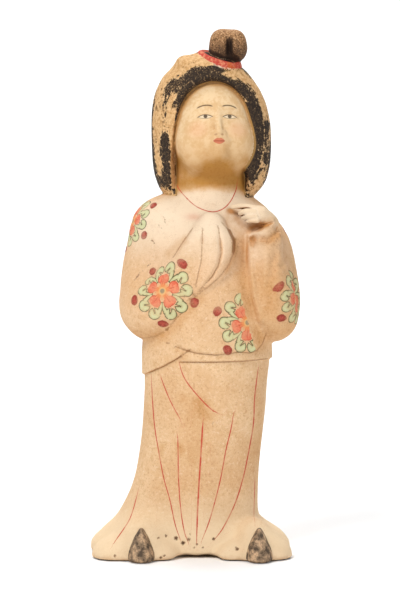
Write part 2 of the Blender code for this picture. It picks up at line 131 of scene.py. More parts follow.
def line2(x, z, pts):
    """Distance in the front view to a line through points (x, z), and how far along it (0 to 1)."""
    pts = np.array(pts, float)
    seg = np.sqrt((np.diff(pts, axis=0) ** 2).sum(1))
    start = np.concatenate([[0], np.cumsum(seg)])
    best, along = None, None
    for i, (a, b) in enumerate(zip(pts[:-1], pts[1:])):
        ab = b - a
        t = np.clip(((x - a[0]) * ab[0] + (z - a[1]) * ab[1]) / (ab @ ab), 0, 1)
        d = np.hypot(x - a[0] - t * ab[0], z - a[1] - t * ab[1])
        s = (start[i] + t * seg[i]) / start[-1]
        if best is None:
            best, along = d, s
        else:
            along = np.where(d < best, s, along)
            best = np.minimum(best, d)
    return best, along


def groove(x, z, pts, width, depth, taper=0.25):
    d, s = line2(x, z, pts)
    ends = ease(s, 0, taper) * ease(1 - s, 0, taper) if taper > 0 else 1.0
    return depth * np.exp(-(d / width) ** 2) * ends


def turned(pitch, yaw, roll=0.0):
    """Columns are a head's own axes: right, back (away from the face) and up."""
    cp, sp, cy, sy, cr, sr = (f(np.radians(v)) for v in (pitch, yaw, roll) for f in (np.cos, np.sin))
    rx = np.array([[1, 0, 0], [0, cp, -sp], [0, sp, cp]])     # + pitch
    rz = np.array([[cy, -sy, 0], [sy, cy, 0], [0, 0, 1]])
    ry = np.array([[cr, 0, sr], [0, 1, 0], [-sr, 0, cr]])
    return rz @ rx @ ry


# ------------------------------------------------------------------ sizes, in millimetres
# height, left, right, front and back reach of the skirt and trunk
TRUNK = stations([
    (-14, -79, 71, -32, 52), (-6, -81.5, 73.5, -33, 54.5), (3, -82.6, 75, -33.5, 55.5), (7, -82.4, 74.4, -33.5, 55), (11.4, -80, 72, -33.5, 53.5),
    (16, -75.3, 67.9, -33.5, 51.5), (20.7, -70.6, 61.5, -33.5, 49.5), (25.4, -65.4, 54.6, -33.5, 47.5), (30, -61.4, 50.4, -33.5, 45.5),
    (35, -58.3, 49.4, -33.5, 43.5), (44, -53.6, 49.2, -34, 41), (53.5, -49.6, 49.4, -34.5, 39), (63, -46.8, 49.8, -35, 37.5),
    (77, -44.2, 50.9, -36, 36), (95.6, -41.8, 53, -37.5, 35), (119, -40.2, 55.4, -39, 34), (133, -39.6, 56.2, -40, 34),
    (157, -39.8, 58.4, -42.5, 36), (175, -38.5, 57.5, -44, 38), (195, -37, 56, -44, 39.5), (212, -34, 54, -44, 40.5),
    (232, -32, 52, -41, 41), (250, -33, 52, -35.5, 39.5), (261, -31, 49, -30, 36), (269, -25, 43, -25, 31),
    (276, -15, 33, -19, 25), (283, -5, 24, -15, 20), (289, 4, 18, -10, 14)])
SLEEVE_L = [(-22, 8, 251.3, 29.6), (-27, 6, 240, 26.5), (-31.5, 4, 225, 25.2), (-33.4, -4, 206, 25.2), (-31.8, -14, 193, 25.8), (-18, -26.5, 202, 22),
            (-3, -34, 217, 18), (8.5, -37.5, 234, 14.5)]
FAN = ([(9.5, -37.5, 259.5, 4.8), (1.0, -41.5, 247, 7.0), (-5.5, -42, 234, 9.3), (-11, -38.5, 220, 11), (-16, -34, 208, 11)],
       [(12.5, -38.5, 261, 4.8), (12.2, -44.6, 247, 7.8), (12.4, -46.4, 235, 8.8), (9, -45, 224, 9.4), (1.5, -42, 213, 9.5)],
       [(15.5, -37.5, 259.5, 4.8), (20.8, -41.5, 245.5, 8.5), (19.8, -43, 234, 8.6), (13.5, -42, 222.5, 8.4), (3.5, -39, 212.5, 8.2), (-6, -36, 203, 9)])
SLEEVE_R = [(36.3, 8, 249.5, 29), (48.5, 6, 237, 27), (55.2, 4, 217, 25), (59.3, -1, 199, 23), (59.8, -10, 187.2, 20.6), (59.5, -20, 193, 19.8),
            (57.5, -27, 213, 17.3), (55.5, -31, 231, 14.0), (57, -29, 248, 10.5)]
HEAD_C, HEAD_R, HEAD_TURN = (13.9, -1, 334), (30.2, 31, 37.5), turned(-13, 7, 0)
HAIR = stations([
    (272, -6, 32, -6, 22), (276, -16, 41, -11, 30), (280, -22.5, 46, -15, 34), (284, -26.4, 49.8, -18, 38), (288.5, -29, 53.4, -21, 40),
    (293, -30.6, 55.8, -23, 41.5), (297.4, -32, 57.2, -24, 42.5), (307, -33.4, 59.0, -25.2, 44), (320, -34.1, 59.7, -26, 45.5), (333, -34.4, 59.4, -26, 45.5),
    (344, -34.2, 57.7, -25.5, 44.5), (353, -33.2, 55.4, -24.8, 43), (358.6, -32, 53, -24, 40.5), (363.3, -30.4, 50.7, -23, 38), (368, -28.2, 47.6, -21.6, 35),
    (372.7, -25.6, 44.2, -19.5, 31), (377.4, -21.3, 40.2, -17, 26.5), (382, -16, 34, -13.5, 21), (386.5, -8, 26, -9, 15), (390, 2, 18, -3, 8)])
BUN_C, BUN_R = (25.6, 0, 397.6), (12.8, 12.8, 12.2)
BUN_LOBES = [((20.8, -1, 394.8), (10.2, 14.2, 12.0)), ((30.8, -1, 395.2), (10.0, 14.4, 11.4)), ((24.6, 1, 389), (10.4, 13, 8)),
             ((20.6, 0, 402.0), (8.6, 11.5, 8.2)), ((31.2, 0, 401.6), (8.0, 11.5, 8.0))]
BAND_C, BAND_R, BAND_TUBE = (18.7, 0.5, 384.9), (15.6, 15.8), 2.6
BAND_TURN = turned(13, 0, 17)
SHOES = [(-41.2, -47.0), (49.2, -47.0)]


def jacket_edge(x, y):
    """Height of the jacket's lower edge: it climbs from the left side to the middle, then runs level."""
    front = np.interp(x, [-60, -40, -35, -24, -14, -9.5], [139, 141, 144, 149.5, 155.5, 158.5])
    front = np.where(x < -9.6, front, 153.4)
    w = ease(y, 0, 18)
    return front * (1 - w) + 147.0 * w


def belly_edge(x):
    return np.interp(x, [-20, -9.5, 2, 15.5, 26, 34.4, 42, 47.5, 52, 60],
                     [170, 163.5, 160.4, 159.2, 160.2, 161.3, 160, 161.5, 165, 172])


def fields(p):
    x, y, z = p[:, 0], p[:, 1], p[:, 2]
    f = {}
    front = ease(-y, -6, 8)
    # skirt and trunk
    xl, xr, yf, yb = at(TRUNK, z)
    body = oval(x, y, xl, xr, yf, yb, 0.52)
    body = smax(body, z - 289, 4)
    # feet under the cloth, low and wide
    left_foot = ellipsoid(p, (-41, -24, 0), (25, 27, 34))
    right_foot = ellipsoid(p, (46, -24, 0), (19, 27, 30))
    body = smin(smin(body, left_foot, 10), right_foot, 9)
    for c, r in (((-61, -26, 2), (19, 22, 16)), ((57, -26, 2), (17, 22, 17)), ((65.5, -27, 0), (8, 14, 12)), ((-26, -33, 1), (13, 13, 12)), ((29, -34, 1), (13, 12.5, 12))):
        body = smin(body, ellipsoid(p, c, r), 6)
    # the jacket's thickness over the skirt
    lift = 2.0 * ease(z - jacket_edge(x, y), -0.5, 0.6)
    inner = smin(z - belly_edge(x), 56.5 - x, 8)
    lift = lift + 2.2 * ease(inner, -0.6, 0.8) * ease(x, -17, -8) * front * (1 - ease(z, 196, 232))
    body = body - lift
    # dents and a soft trough in the skirt
    body = body + 1.0 * np.exp(-(line2(x, z, [(5, 114), (8, 110), (10, 107)])[0] / 3.0) ** 2) * front
    body = body + 0.7 * np.exp(-((x - 12) / 7) ** 2 - ((z - 128) / 9) ** 2) * front
    body = body - 1.0 * np.exp(-((x + 6) / 16) ** 2 - ((z - 92) / 26) ** 2) * front
    # long shallow flutes of the skirt that fade upwards
    flute = 0.55 * np.cos((x - 3) / 8.2) * ease(z, 110, 30) * ease(z, 4, 16) * front
    body = body - flute
    f["body"] = body
    # sleeves
    left = limb(p, SLEEVE_L)
    fan = None
    for nodes in FAN:
        d = limb(p, nodes)
        fan = d if fan is None else smin(fan, d, 9)
    g = groove(x, z, [(-1.9, 255.3), (-6.5, 248.8), (-12.1, 240.5), (-16.7, 233.1)], 1.5, 1.3)
    left = left + g * ease(-y, 12, 24)
    g = g + groove(x, z, [(5.6, 257), (5.3, 240.5), (4.8, 231.2), (2.7, 222), (0, 207)], 1.6, 1.7, 0.3)
    g = g + groove(x, z, [(17.0, 259), (19.3, 246), (20.0, 236.8), (18.0, 227.5), (12.6, 218.2), (3.0, 208)], 1.5, 1.7, 0.3)
    f["fan"] = fan + g * ease(-y, 12, 24)
    right = limb(p, SLEEVE_R)
    ridge, _ = line2(x, z, [(41, 248), (41.8, 236), (43, 222), (45, 204), (50.3, 185)])
    right = right - 2.4 * np.exp(-(ridge / 2.6) ** 2) * ease(-y, 10, 24)
    cuff, _ = line2(x, z, [(63, 267), (60, 258.5), (52, 252.5), (42, 250.5)])
    right = right - 2.2 * np.exp(-(cuff / 2.4) ** 2) * ease(-y, 12, 24)
    g = groove(x, z, [(47, 246), (55, 246), (61, 250), (66, 259)], 2.4, 2.6)
    g = g + groove(x, z, [(64, 246), (60, 232), (57, 214), (57, 196), (61, 182)], 3.2, 1.9)
    g = g + groove(x, z, [(49, 240), (47.5, 226), (50, 210), (53, 194)], 3.4, 1.6)
    g = g + groove(x, z, [(70, 254), (70, 238), (66, 222)], 3.0, 1.5)
    g = g + groove(x, z, [(75, 240), (73, 226), (66, 214)], 2.2, 1.0)
    right = right + g * ease(-y, 4, 20)
    f["left"], f["right"] = left, right
    f["neck"] = smax(oval(x, y, -15.0, 39.5, -17.5 - 3.5 * ease(z, 282, 264), 27, 0.5), z - 318, 6)
    # head, in its own axes q: right, back and up
    q = (p - np.array(HEAD_C)) @ HEAD_TURN
    f["q"] = q
    def own(c, r):
        return ellipsoid(q, c, r)
    head = own((0, 0, 0), HEAD_R)
    for side in (-1, 1):
        head = smin(head, own((side * 13.2, -8.5, -17.5), (16.4, 19.5, 19)), 9)
    head = smin(head, own((0, -15, -26), (13, 14.5, 11)), 9)
    head = smin(head, own((0, -5, -29), (21.5, 18.5, 10.5)), 8)
    for side in (-1, 1):                                     # eye sockets and lids
        head = head + 1.5 * np.exp(-((q[:, 0] - side * 9.5) / 6.5) ** 2 - ((q[:, 2] - 1.5) / 4.6) ** 2) * (q[:, 1] < 0)
        head = smin(head, own((side * 10.0, -23.6, 0.2), (6.8, 5.4, 3.4)), 1.6)
    nose = limb(q, [(0, -28.4, 4, 2.0), (0, -30.6, -3, 2.2), (0, -33.2, -9.5, 2.7), (0, -33.6, -12.4, 2.9)], 3)
    for side in (-1, 1):
        nose = smin(nose, own((side * 3.3, -30.8, -12.8), (2.2, 2.8, 2.1)), 1.6)
    head = smin(head, nose, 3.0)
    head = smin(head, own((0, -28.6, -19.0), (7.5, 5.2, 6.0)), 5)
    head = smin(head, own((0, -32.4, -18.7), (4.6, 2.4, 1.35)), 0.9)
    head = smin(head, own((0, -31.6, -21.6), (3.9, 2.5, 1.7)), 0.9)
    head = smin(head, own((0, -27.5, -29), (6.0, 5.0, 5.0)), 5)
    f["head"] = head
    # hair: a thick shell with an opening for the face and neck
    xl, xr, yf, yb = at(HAIR, z)
    hair = oval(x, y, xl, xr, yf, yb, 0.5)
    hair = smax(hair, z - 389, 3)
    hair = smax(hair, 273 - z, 4)
    w = ease(z, 305, 340)
    mouth = oval(x, y, -15.2 - 2.6 * (1 - w), 42.4 - 4.6 * (1 - w) + 3.2 * ease(z, 306, 292), -70 + 0 * z, 10 + 8 * w, 0.72)
    mouth = smax(mouth, z - 338, 10)
    dome = ellipsoid(p, (14.6, -26, 336), (28.9, 38, 35.0))
    hair = smax(hair, -smin(mouth, dome, 6), 5.5)
    hair = smin(hair, ellipsoid(p, (-0.5, 0, 379.5), (15.5, 17, 9.5), turned(0, 0, 22)), 6)
    hair = smin(hair, ellipsoid(p, (16, 1, 380.8), (18.5, 18, 8.5), turned(6, 0, 20)), 6)
    # the coils of hair that hang at the sides are rolled under at the neck
    f["hair"] = hair
    bun = ellipsoid(p, BUN_C, BUN_R)
    for c, r in BUN_LOBES:
        bun = smin(bun, ellipsoid(p, c, r), 2.5)
    cleft, s = line2(x, z, [(26.2, 402.0), (26.7, 394), (27.0, 382)])
    bun = bun + 5.2 * np.exp(-(cleft / (2.3 + 2.6 * ease(z, 402, 386))) ** 2) * ease(-y, -1, 8) * ease(s, -0.1, 0.3)
    for pts in ([(17.5, 403), (15.5, 397), (17, 388)], [(33, 402), (34.5, 395), (32, 386)]):
        bun = bun + 1.0 * np.exp(-(line2(x, z, pts)[0] / 1.6) ** 2) * ease(-y, 2, 12)
    f["bun"] = bun
    b = (p - np.array(BAND_C)) @ BAND_TURN
    ring = np.hypot(b[:, 0] / BAND_R[0], b[:, 1] / BAND_R[1])
    rad = (ring - 1) * (BAND_R[0] + BAND_R[1]) / 2
    f["band"] = np.hypot(rad, b[:, 2] / 1.65) - BAND_TUBE + 0.7 * np.exp(-(b[:, 2] / 0.6) ** 2)
    f["core"] = np.maximum(rad, np.abs(b[:, 2] + 2) - 4)
    # shoes: upturned toes, pointed leaves with a soft keel
    shoe = None
    for sx, sy in SHOES:
        dx = x - sx
        half = np.interp(z, [-4, 0, 3, 7, 11, 15, 19, 22, 24.5, 26.5], [9.0, 9.6, 10.1, 9.7, 8.5, 6.9, 5.1, 3.6, 2.2, 1.2])
        reach = np.interp(z, [-4, 0, 4, 10, 18, 25, 28], [12.5, 13.5, 13.6, 12.2, 10, 7.4, 6.0])
        s = (np.sqrt((dx / half) ** 2 + ((y - sy) / reach) ** 2 + 1e-4) - 1) * np.minimum(half, reach)
        s = smax(s, z - 26.0, 1.5)
        s = smax(s, y - sy - 2, 2)
        shoe = s if shoe is None else np.minimum(shoe, s)
    f["shoe"] = shoe
    # hand: back of the hand, a pointing finger and three curled ones
    hand = limb(p, [(58.5, -25.5, 259, 6.2), (55.5, -29.5, 262.5, 6.0), (51, -32.5, 266.2, 5.8)], 1)
    hand = smin(hand, ellipsoid(p, (47.8, -34.5, 266.6), (6.4, 5.0, 6.0)), 3)
    for nodes in ([(46, -35.5, 270.4, 2.7), (37.5, -33.2, 272.2, 2.3), (28.5, -29, 271.6, 1.7)],
                  [(45.5, -38.0, 267.8, 2.5), (38.8, -37.6, 268.2, 2.3), (34.8, -34.2, 266.9, 2.0)],
                  [(46.5, -38.4, 264.6, 2.4), (41, -38.2, 264.6, 2.3), (37.4, -35.0, 263.4, 2.0)],
                  [(47.5, -38.0, 261.6, 2.3), (43.2, -37.6, 261.6, 2.2), (40.2, -35.0, 260.8, 1.8)]):
        hand = smin(hand, limb(p, nodes), 0.7)
    f["hand"] = hand
    return f


def form(p, parts=False):
    f = fields(p)
    x, y, z = p[:, 0], p[:, 1], p[:, 2]
    t = smin(f["body"], f["neck"], 12)
    high = ease(z, 205, 240)
    t = smin(t, f["left"], 4 + 14 * high)
    t = smin(t, f["fan"], 2.5 + 8 * ease(z, 250, 262))
    t = smin(t, f["right"], 4 + 5 * ease(z, 195, 215) + 7 * ease(z, 240, 258))
    # hollow of the right cuff under the hand
    t = smax(t, -ellipsoid(p, (48.5, -41, 257), (7.0, 6.6, 3.0), turned(0, 0, -20)), 3.0)
    t = smin(t, f["hand"], 1.4)
    t = smin(t, f["shoe"], 1.2)
    h = smin(f["hair"], f["core"], 4)
    h = smin(h, f["bun"], 2.0)
    h = smin(h, f["band"], 1.2)
    head = smin(f["head"], f["neck"], 8)
    h = smin(h, head, 1.2)
    t = smin(t, h, 2.0)
    # shallow arch in the hem between the feet
    arch = smin(ellipsoid(p, (-6.5, -50, -9), (15.5, 38, 14.5)), ellipsoid(p, (9.5, -50, -9), (15.5, 38, 14.8)), 6)
    t = smax(t, -arch, 1.5)
    t = t + 1.3 * (1 - ease(z, 0.7, 2.0))                  # the foot is set in a little where it touches the ground
    t = np.maximum(t, -z)                                  # flat underside
    return (t, f) if parts else t


# ------------------------------------------------------------------ from form to faces
CELL = np.array([[i, j, k] for i in (0, 1) for j in (0, 1) for k in (0, 1)], np.int64)
BOX_LOW = (-96.0, -72.0, -8.0)
BOX_HIGH = (96.0, 64.0, 416.0)


def skin(size, levels=3):
    """Points and four-sided faces along form() = 0: one point in each cell that the surface crosses."""
    low, high = np.array(BOX_LOW), np.array(BOX_HIGH)
    s = size * 2 ** levels
    n = np.ceil((high - low) / s).astype(int)
    cells = np.stack(np.meshgrid(*[np.arange(k) for k in n], indexing="ij"), -1).reshape(-1, 3)
    for level in range(levels + 1):                        # halve the cells, keeping those near the surface
        near = np.abs(form(low + (cells + 0.5) * s)) < 1.5 * s + 1.0
        cells = cells[near]
        if level < levels:
            cells = (cells[:, None, :] * 2 + CELL[None]).reshape(-1, 3)
            s /= 2

    def key(c):
        return (c[..., 0] * 4096 + c[..., 1]) * 4096 + c[..., 2] + 8

    cells = cells[np.argsort(key(cells))]
    corners = (cells[:, None, :] + CELL[None]).reshape(-1, 3)
    _, first, back = np.unique(key(corners), return_index=True, return_inverse=True)
    value = form(low + corners[first] * s)[back.reshape(-1)].reshape(-1, 8)
    crossed = (value < 0).any(1) & (value >= 0).any(1)
    cells, value = cells[crossed], value[crossed]
    keys = key(cells)
    place, hits = np.zeros((len(cells), 3)), np.zeros(len(cells))
    for a in range(8):
        for b in range(a + 1, 8):
            if np.abs(CELL[a] - CELL[b]).sum() != 1:
                continue
            cut = (value[:, a] < 0) != (value[:, b] < 0)
            t = value[cut, a] / (value[cut, a] - value[cut, b])
            place[cut] += CELL[a] + (CELL[b] - CELL[a]) * t[:, None]
            hits[cut] += 1
    points = low + (cells + place / hits[:, None]) * s
    faces = []
    for along in range(3):                                 # a face across each cell edge that is crossed
        step = np.eye(3, dtype=np.int64)
        u, v = step[(along + 1) % 3], step[(along + 2) % 3]
        cut = (value[:, 0] < 0) != (value[:, 4 >> along] < 0)
        c = cells[cut]
        quad = np.stack([np.minimum(np.searchsorted(keys, key(c - d)), len(keys) - 1) for d in (0 * u, u, u + v, v)], 1)
        whole = np.all([keys[quad[:, i]] == key(c - d) for i, d in enumerate((0 * u, u, u + v, v))], axis=0)
        quad[value[cut, 0] >= 0] = quad[value[cut, 0] >= 0][:, ::-1]
        faces.append(quad[whole])
    return points, np.concatenate(faces)


TETRA = np.array([[1, -1, -1], [-1, -1, 1], [-1, 1, -1], [1, 1, 1]], float)


def slope_of(points, reach=0.25):
    value = [form(points + c * reach) for c in TETRA]
    return sum(value) / 4, sum(v[:, None] * c for v, c in zip(value, TETRA)) / (4 * reach)


def settle(points, rounds=2, reach=0.25, most=1.5):
    """Moves each point along the form's slope onto its surface."""
    for _ in range(rounds):
        value, slope = slope_of(points, reach)
        step = -(value / ((slope ** 2).sum(1) + 1e-6))[:, None] * slope
        length = np.sqrt((step ** 2).sum(1)) + 1e-9
        points = points + step * np.minimum(1.0, most / length)[:, None]
    return points


def triangles(points, quads):
    """Cuts each quad along its shorter diagonal."""
    a, b, c, d = (points[quads[:, i]] for i in range(4))
    short = ((a - c) ** 2).sum(1) < ((b - d) ** 2).sum(1)
    q = np.where(short[:, None], quads, np.roll(quads, -1, axis=1))
    return np.concatenate([q[:, [0, 1, 2]], q[:, [0, 2, 3]]])


def refine(points, faces, chosen):
    """Splits the chosen triangles in four, and their neighbours as needed, and settles the new points."""
    edges = np.sort(np.stack([faces, np.roll(faces, -1, axis=1)], -1), axis=-1)
    flat = edges.reshape(-1, 2)
    code = flat[:, 0] * len(points) + flat[:, 1]
    unique, index = np.unique(code, return_inverse=True)
    index = index.reshape(-1, 3)
    split = np.zeros(len(unique), bool)
    split[index[chosen].reshape(-1)] = True
    while True:                                            # a triangle with two split edges splits its third
        two = split[index].sum(1) == 2
        if not two.any():
            break
        split[index[two].reshape(-1)] = True
    number = np.full(len(unique), -1)
    number[split] = len(points) + np.arange(split.sum())
    ends = np.stack([unique[split] // len(points), unique[split] % len(points)], 1)
    new = settle(points[ends].mean(1))
    count = split[index].sum(1)
    out = [faces[count == 0]]
    f, m = faces[count == 3], number[index[count == 3]]
    out += [np.stack([f[:, 0], m[:, 0], m[:, 2]], 1), np.stack([m[:, 0], f[:, 1], m[:, 1]], 1),
            np.stack([m[:, 2], m[:, 1], f[:, 2]], 1), m]
    for k in range(3):
        one = (count == 1) & split[index[:, k]]
        f, m = faces[one], number[index[one, k]]
        a, b, c = f[:, k], f[:, (k + 1) % 3], f[:, (k + 2) % 3]
        out += [np.stack([a, m, c], 1), np.stack([m, b, c], 1)]
    return np.concatenate([points, new]), np.concatenate(out)


def bend(points, faces):
    """For each triangle, the sharpest turn between it and a neighbour, in degrees."""
    n = np.cross(points[faces[:, 1]] - points[faces[:, 0]], points[faces[:, 2]] - points[faces[:, 0]])
    n /= np.sqrt((n ** 2).sum(1, keepdims=True)) + 1e-12
    edges = np.sort(np.stack([faces, np.roll(faces, -1, axis=1)], -1), axis=-1).reshape(-1, 2)
    code = edges[:, 0] * len(points) + edges[:, 1]
    order = np.argsort(code, kind="stable")
    owner = order // 3
    same = code[order[:-1]] == code[order[1:]]
    a, b = owner[:-1][same], owner[1:][same]
    turn = np.degrees(np.arccos(np.clip((n[a] * n[b]).sum(1), -1, 1)))
    out = np.zeros(len(faces))
    np.maximum.at(out, a, turn)
    np.maximum.at(out, b, turn)
    return out


def figure_mesh():
    points, quads = skin(BASE_CELL)
    on_base = points[:, 2] < 0.75 * BASE_CELL
    points[~on_base] = settle(points[~on_base], 1)
    faces = triangles(points, quads)
    for turn in REFINE:
        centre = points[faces].mean(1)
        size = np.sqrt(((points[faces[:, 0]] - points[faces[:, 1]]) ** 2).sum(1))
        q = (centre - np.array(HEAD_C)) @ HEAD_TURN
        face = (q[:, 1] < -9) & (np.abs(q[:, 0]) < 31) & (q[:, 2] > -34) & (q[:, 2] < 30)
        hand = (np.abs(centre - np.array([43, -37, 265])) < np.array([19, 13, 13])).all(1)
        pits = np.zeros(len(centre), bool)
        for x, z, r in PITS:
            pits |= (np.hypot(centre[:, 0] - x, centre[:, 2] - z) < r + 1.6) & (centre[:, 1] < -20)
        chosen = (bend(points, faces) > turn) | face | hand | pits
        chosen &= (centre[:, 2] > 1.2) & (size > 0.45)
        points, faces = refine(points, faces, chosen)
    return points, faces


# ------------------------------------------------------------------ where the paint lies
# red brush lines as (x, z) in the front view, with their widest half-width
FRONT_LINES = [
    (0, 0.42, [(-12.3, 152.5), (-9.3, 142.6), (-4.6, 134.9), (3.8, 124.9), (12.2, 116.5), (18.4, 112.6)]),
    (1, 0.36, [(-26.9, 141.9), (-23.5, 132.6), (-18.5, 121.1), (-10.4, 106.5)]),
    (0, 0.38, [(-34.1, 141.9), (-33.1, 122.6), (-31.5, 102.6), (-28.5, 84.2), (-24.2, 61.9), (-19.6, 45.8), (-15.4, 26.5), (-11.2, 14.2)]),
    (1, 0.40, [(-13.4, 97.3), (-13.1, 84.2), (-12.8, 62.7), (-11.2, 39.6), (-8.5, 21.9), (-5.0, 11.9)]),
    (2, 0.58, [(6.1, 107.3), (5.3, 95.0), (4.2, 76.5), (3.0, 58.1), (1.8, 34.2), (1.2, 11.9)]),
    (0, 0.42, [(29.9, 113.4), (27.6, 100.3), (23.8, 84.2), (19.2, 59.6), (11.9, 31.9), (5.3, 14.2)]),
    (1, 0.46, [(49.1, 148.0), (47.6, 137.2), (46.0, 122.6), (45.3, 104.2), (42.2, 85.0), (37.6, 62.7), (31.1, 41.9), (22.2, 24.2), (14.6, 14.2)]),
    (2, 0.34, [(-44.0, 52.1), (-49.2, 33.5), (-55.7, 22.7), (-63.0, 12.7)]),
    (2, 0.26, [(46.8, 60.8), (46.0, 30.2)]),
    (2, 0.36, [(-14.5, 289.5), (-12.4, 285.2), (-5.8, 277.7), (1.8, 271.5), (12.1, 268.0), (20.7, 269.7), (27.3, 275.8), (31.9, 285.2), (32.6, 291)])]
BACK_LINES = [
    (0, 0.42, [(-31, 144), (-33, 110), (-37, 72), (-45, 42), (-58, 16)]),
    (1, 0.42, [(-15, 146), (-16, 104), (-19, 60), (-25, 14)]),
    (2, 0.42, [(2, 145), (2, 100), (0, 54), (-3, 13)]),
    (0, 0.42, [(19, 146), (20, 106), (20, 60), (19, 14)]),
    (1, 0.42, [(36, 143), (39, 108), (42, 68), (47, 34), (55, 13)])]
# small pits near the hem: (x, z, radius)
PITS = [(-14.6, 15.9, 1.5), (-9.2, 12.1, 1.5), (-5.0, 15.1, 1.2), (-3.9, 19.4, 0.7), (1.5, 11.3, 0.8), (-0.8, 8.6, 0.6), (6.1, 8.6, 0.6),
        (14.5, 15.1, 0.9), (32.1, 9.4, 1.3), (-61.6, 4.4, 0.9), (-26.0, 2.9, 1.1), (-23.8, 4.4, 0.8), (-28.3, 17.4, 0.7), (-22.2, 18.2, 0.8)]
# thin cuts in the surface
SCRATCHES = [[(-47.4, 214.6), (-40.5, 223.0), (-31.9, 230.5)], [(-28.2, 258.5), (-24.8, 254.0)], [(-34.0, 246.5), (-28.5, 241.0)],
             [(-24.2, 263.5), (-22.4, 259.0)], [(70.5, 268.5), (73.0, 266.0)]]
# painted shade along the folds' creases and the overhanging edges of the fan, the left sleeve and the jacket: amount,
# width and line
CREASE_SHADE = [
    (0.75, 0.75, [(-1.9, 255.3), (-6.5, 248.8), (-12.1, 240.5), (-16.7, 233.1)]), (0.80, 0.8, [(5.6, 256), (5.3, 240.5), (4.8, 231.2), (2.7, 222), (0, 209), (-4, 201)]),
    (0.80, 0.8, [(17.4, 258), (19.3, 246), (20.0, 236.8), (18.0, 227.5), (12.6, 218.2), (3.6, 209)]), 
    (1.0, 1.5, [(26.5, 253), (29.8, 246), (29.6, 238.5)]), (0.7, 1.0, [(20.4, 260), (26.5, 253), (29.8, 246), (29.2, 236), (25.8, 228), (19.8, 219.5), (11.1, 211.7), (1.8, 205)]),
    (0.75, 1.1, [(1.8, 205), (-2, 202), (-6, 195), (-13.4, 187.6), (-21.6, 177.6)]), (0.6, 1.4, [(-21.6, 177.6), (-30, 172), (-39, 170), (-52, 172)]),
    (0.9, 0.8, [(-35, 143.4), (-24, 149.0), (-14, 155.0), (-9, 158.6), (-4, 162.5)]), (0.9, 0.8, [(-12, 152.6), (15, 152.8), (40, 153.2), (56, 154)]),
    (0.8, 0.8, [(-24, 168.5), (-9.5, 162.6), (2, 159.6), (15.5, 158.4), (26, 159.4), (34.4, 160.5), (42, 159.4), (47.5, 161), (52, 166), (55.5, 176)])]
# where the hair's paint is rubbed off (+) or still thick (-): amount, width and line
HAIR_WEAR = [
    (0.62, 4.4, [(-28.0, 356), (-30.5, 335), (-29.5, 316), (-28.0, 299)]), (0.42, 5.0, [(-17.5, 356), (-21.0, 344), (-23.5, 332)]), (0.5, 2.4, [(-17.0, 344), (-18.4, 330), (-18.6, 318)]),
    (-0.45, 2.8, [(-23.5, 326), (-23.2, 312), (-22.4, 289)]), (-0.60, 2.0, [(-34.2, 350), (-34.6, 326), (-32.5, 300), (-29.0, 288)]),
    (-0.30, 4.5, [(-14.0, 362), (-5.0, 370), (8, 374.8), (20, 374)]), (-0.32, 4.5, [(32.8, 367.5), (42.1, 358.5), (46.5, 346.9), (47, 333)]), (-0.20, 4.5, [(48, 326), (47.8, 312), (45, 296)]),
    (0.42, 3.2, [(22, 374.5), (29, 372.5), (36, 368.5)]), (0.45, 3.2, [(-12, 372), (-7, 378)]), (0.14, 3.0, [(53, 338), (51, 322), (51, 306)]),
    (0.80, 5.5, [(-19.0, 377), (-10.2, 383.5), (-0.1, 387), (8, 384)]), (0.45, 3.2, [(-27.5, 362), (-21.5, 374)]),
    (0.55, 4.0, [(23.2, 379), (34.8, 374), (45.5, 366), (53.0, 352)]), (0.42, 3.0, [(54.0, 351), (56.2, 342)]), (0.10, 2.5, [(58.2, 330), (58.0, 312)]), (0.42, 3.2, [(54.5, 303), (51, 291)]), (0.75, 1.8, [(-17.4, 314), (-17.2, 300), (-16.8, 288)]),
    (0.50, 3.0, [(-24, 286), (-20, 282)]), (0.45, 3.5, [(50, 287), (45, 282)])]
# golden earth stains on the clay, and painted shade under the chin, under the sleeves' lower edges, beside the fan, in
# the recess by the right sleeve and under the hand: amount, width and line
STAINS_AND_SHADE = [
    (0.62, 12.5, [(64, 248), (61, 230), (58, 210), (58, 194)]), (0.60, 4.6, [(44, 246), (56, 246), (63, 251)]), (0.62, 5.8, [(34.5, 250), (35.5, 230), (37, 210), (41, 190)]),
    (0.6, 4.0, [(44, 257.5), (53, 257), (60, 262)]), (1.10, 6.0, [(-8, 291), (14, 292), (36, 291)]), (0.85, 8.0, [(9, 300), (17, 302), (25, 300)]), (0.42, 12.0, [(12, 306), (17, 309), (22, 306)]), (0.8, 4.0, [(-8, 300), (-12, 308)]), (0.85, 4.5, [(-16, 306), (-17.5, 284)]), (0.95, 5.0, [(42, 306), (41, 284)]),
    (0.55, 6.0, [(-72, 190), (-52, 172.5), (-28, 172)]), (0.50, 6.0, [(52, 172), (70, 175), (84, 192)]), (0.40, 4.0, [(46, 178), (50, 164)]),
    (0.55, 3.0, [(-9.2, 126), (-8.8, 124)]), (0.60, 3.6, [(-26.9, 85), (-26.5, 83)]), (0.70, 3.2, [(-11.5, 87), (-11.2, 84)]), (0.55, 5.0, [(2, 121), (8, 112)]),
    (0.35, 9.0, [(0, 112), (-2, 80)]), (0.70, 3.6, [(-53, 20), (-52, 5)]), (0.80, 4.4, [(36.5, 18), (35.5, 4)]), (0.70, 5.0, [(60, 12), (68, 8)]),
    (0.55, 4.0, [(5, 203), (-2, 197), (-7, 190), (-15, 181), (-24, 173)]), (0.5, 3.0, [(31, 246), (30, 234), (24, 224)]),
    (0.45, 4.0, [(-9, 246), (-20, 236)]), (0.40, 4.0, [(24, 262), (29, 255)]), (0.35, 6.0, [(50, 120), (48, 80)])]
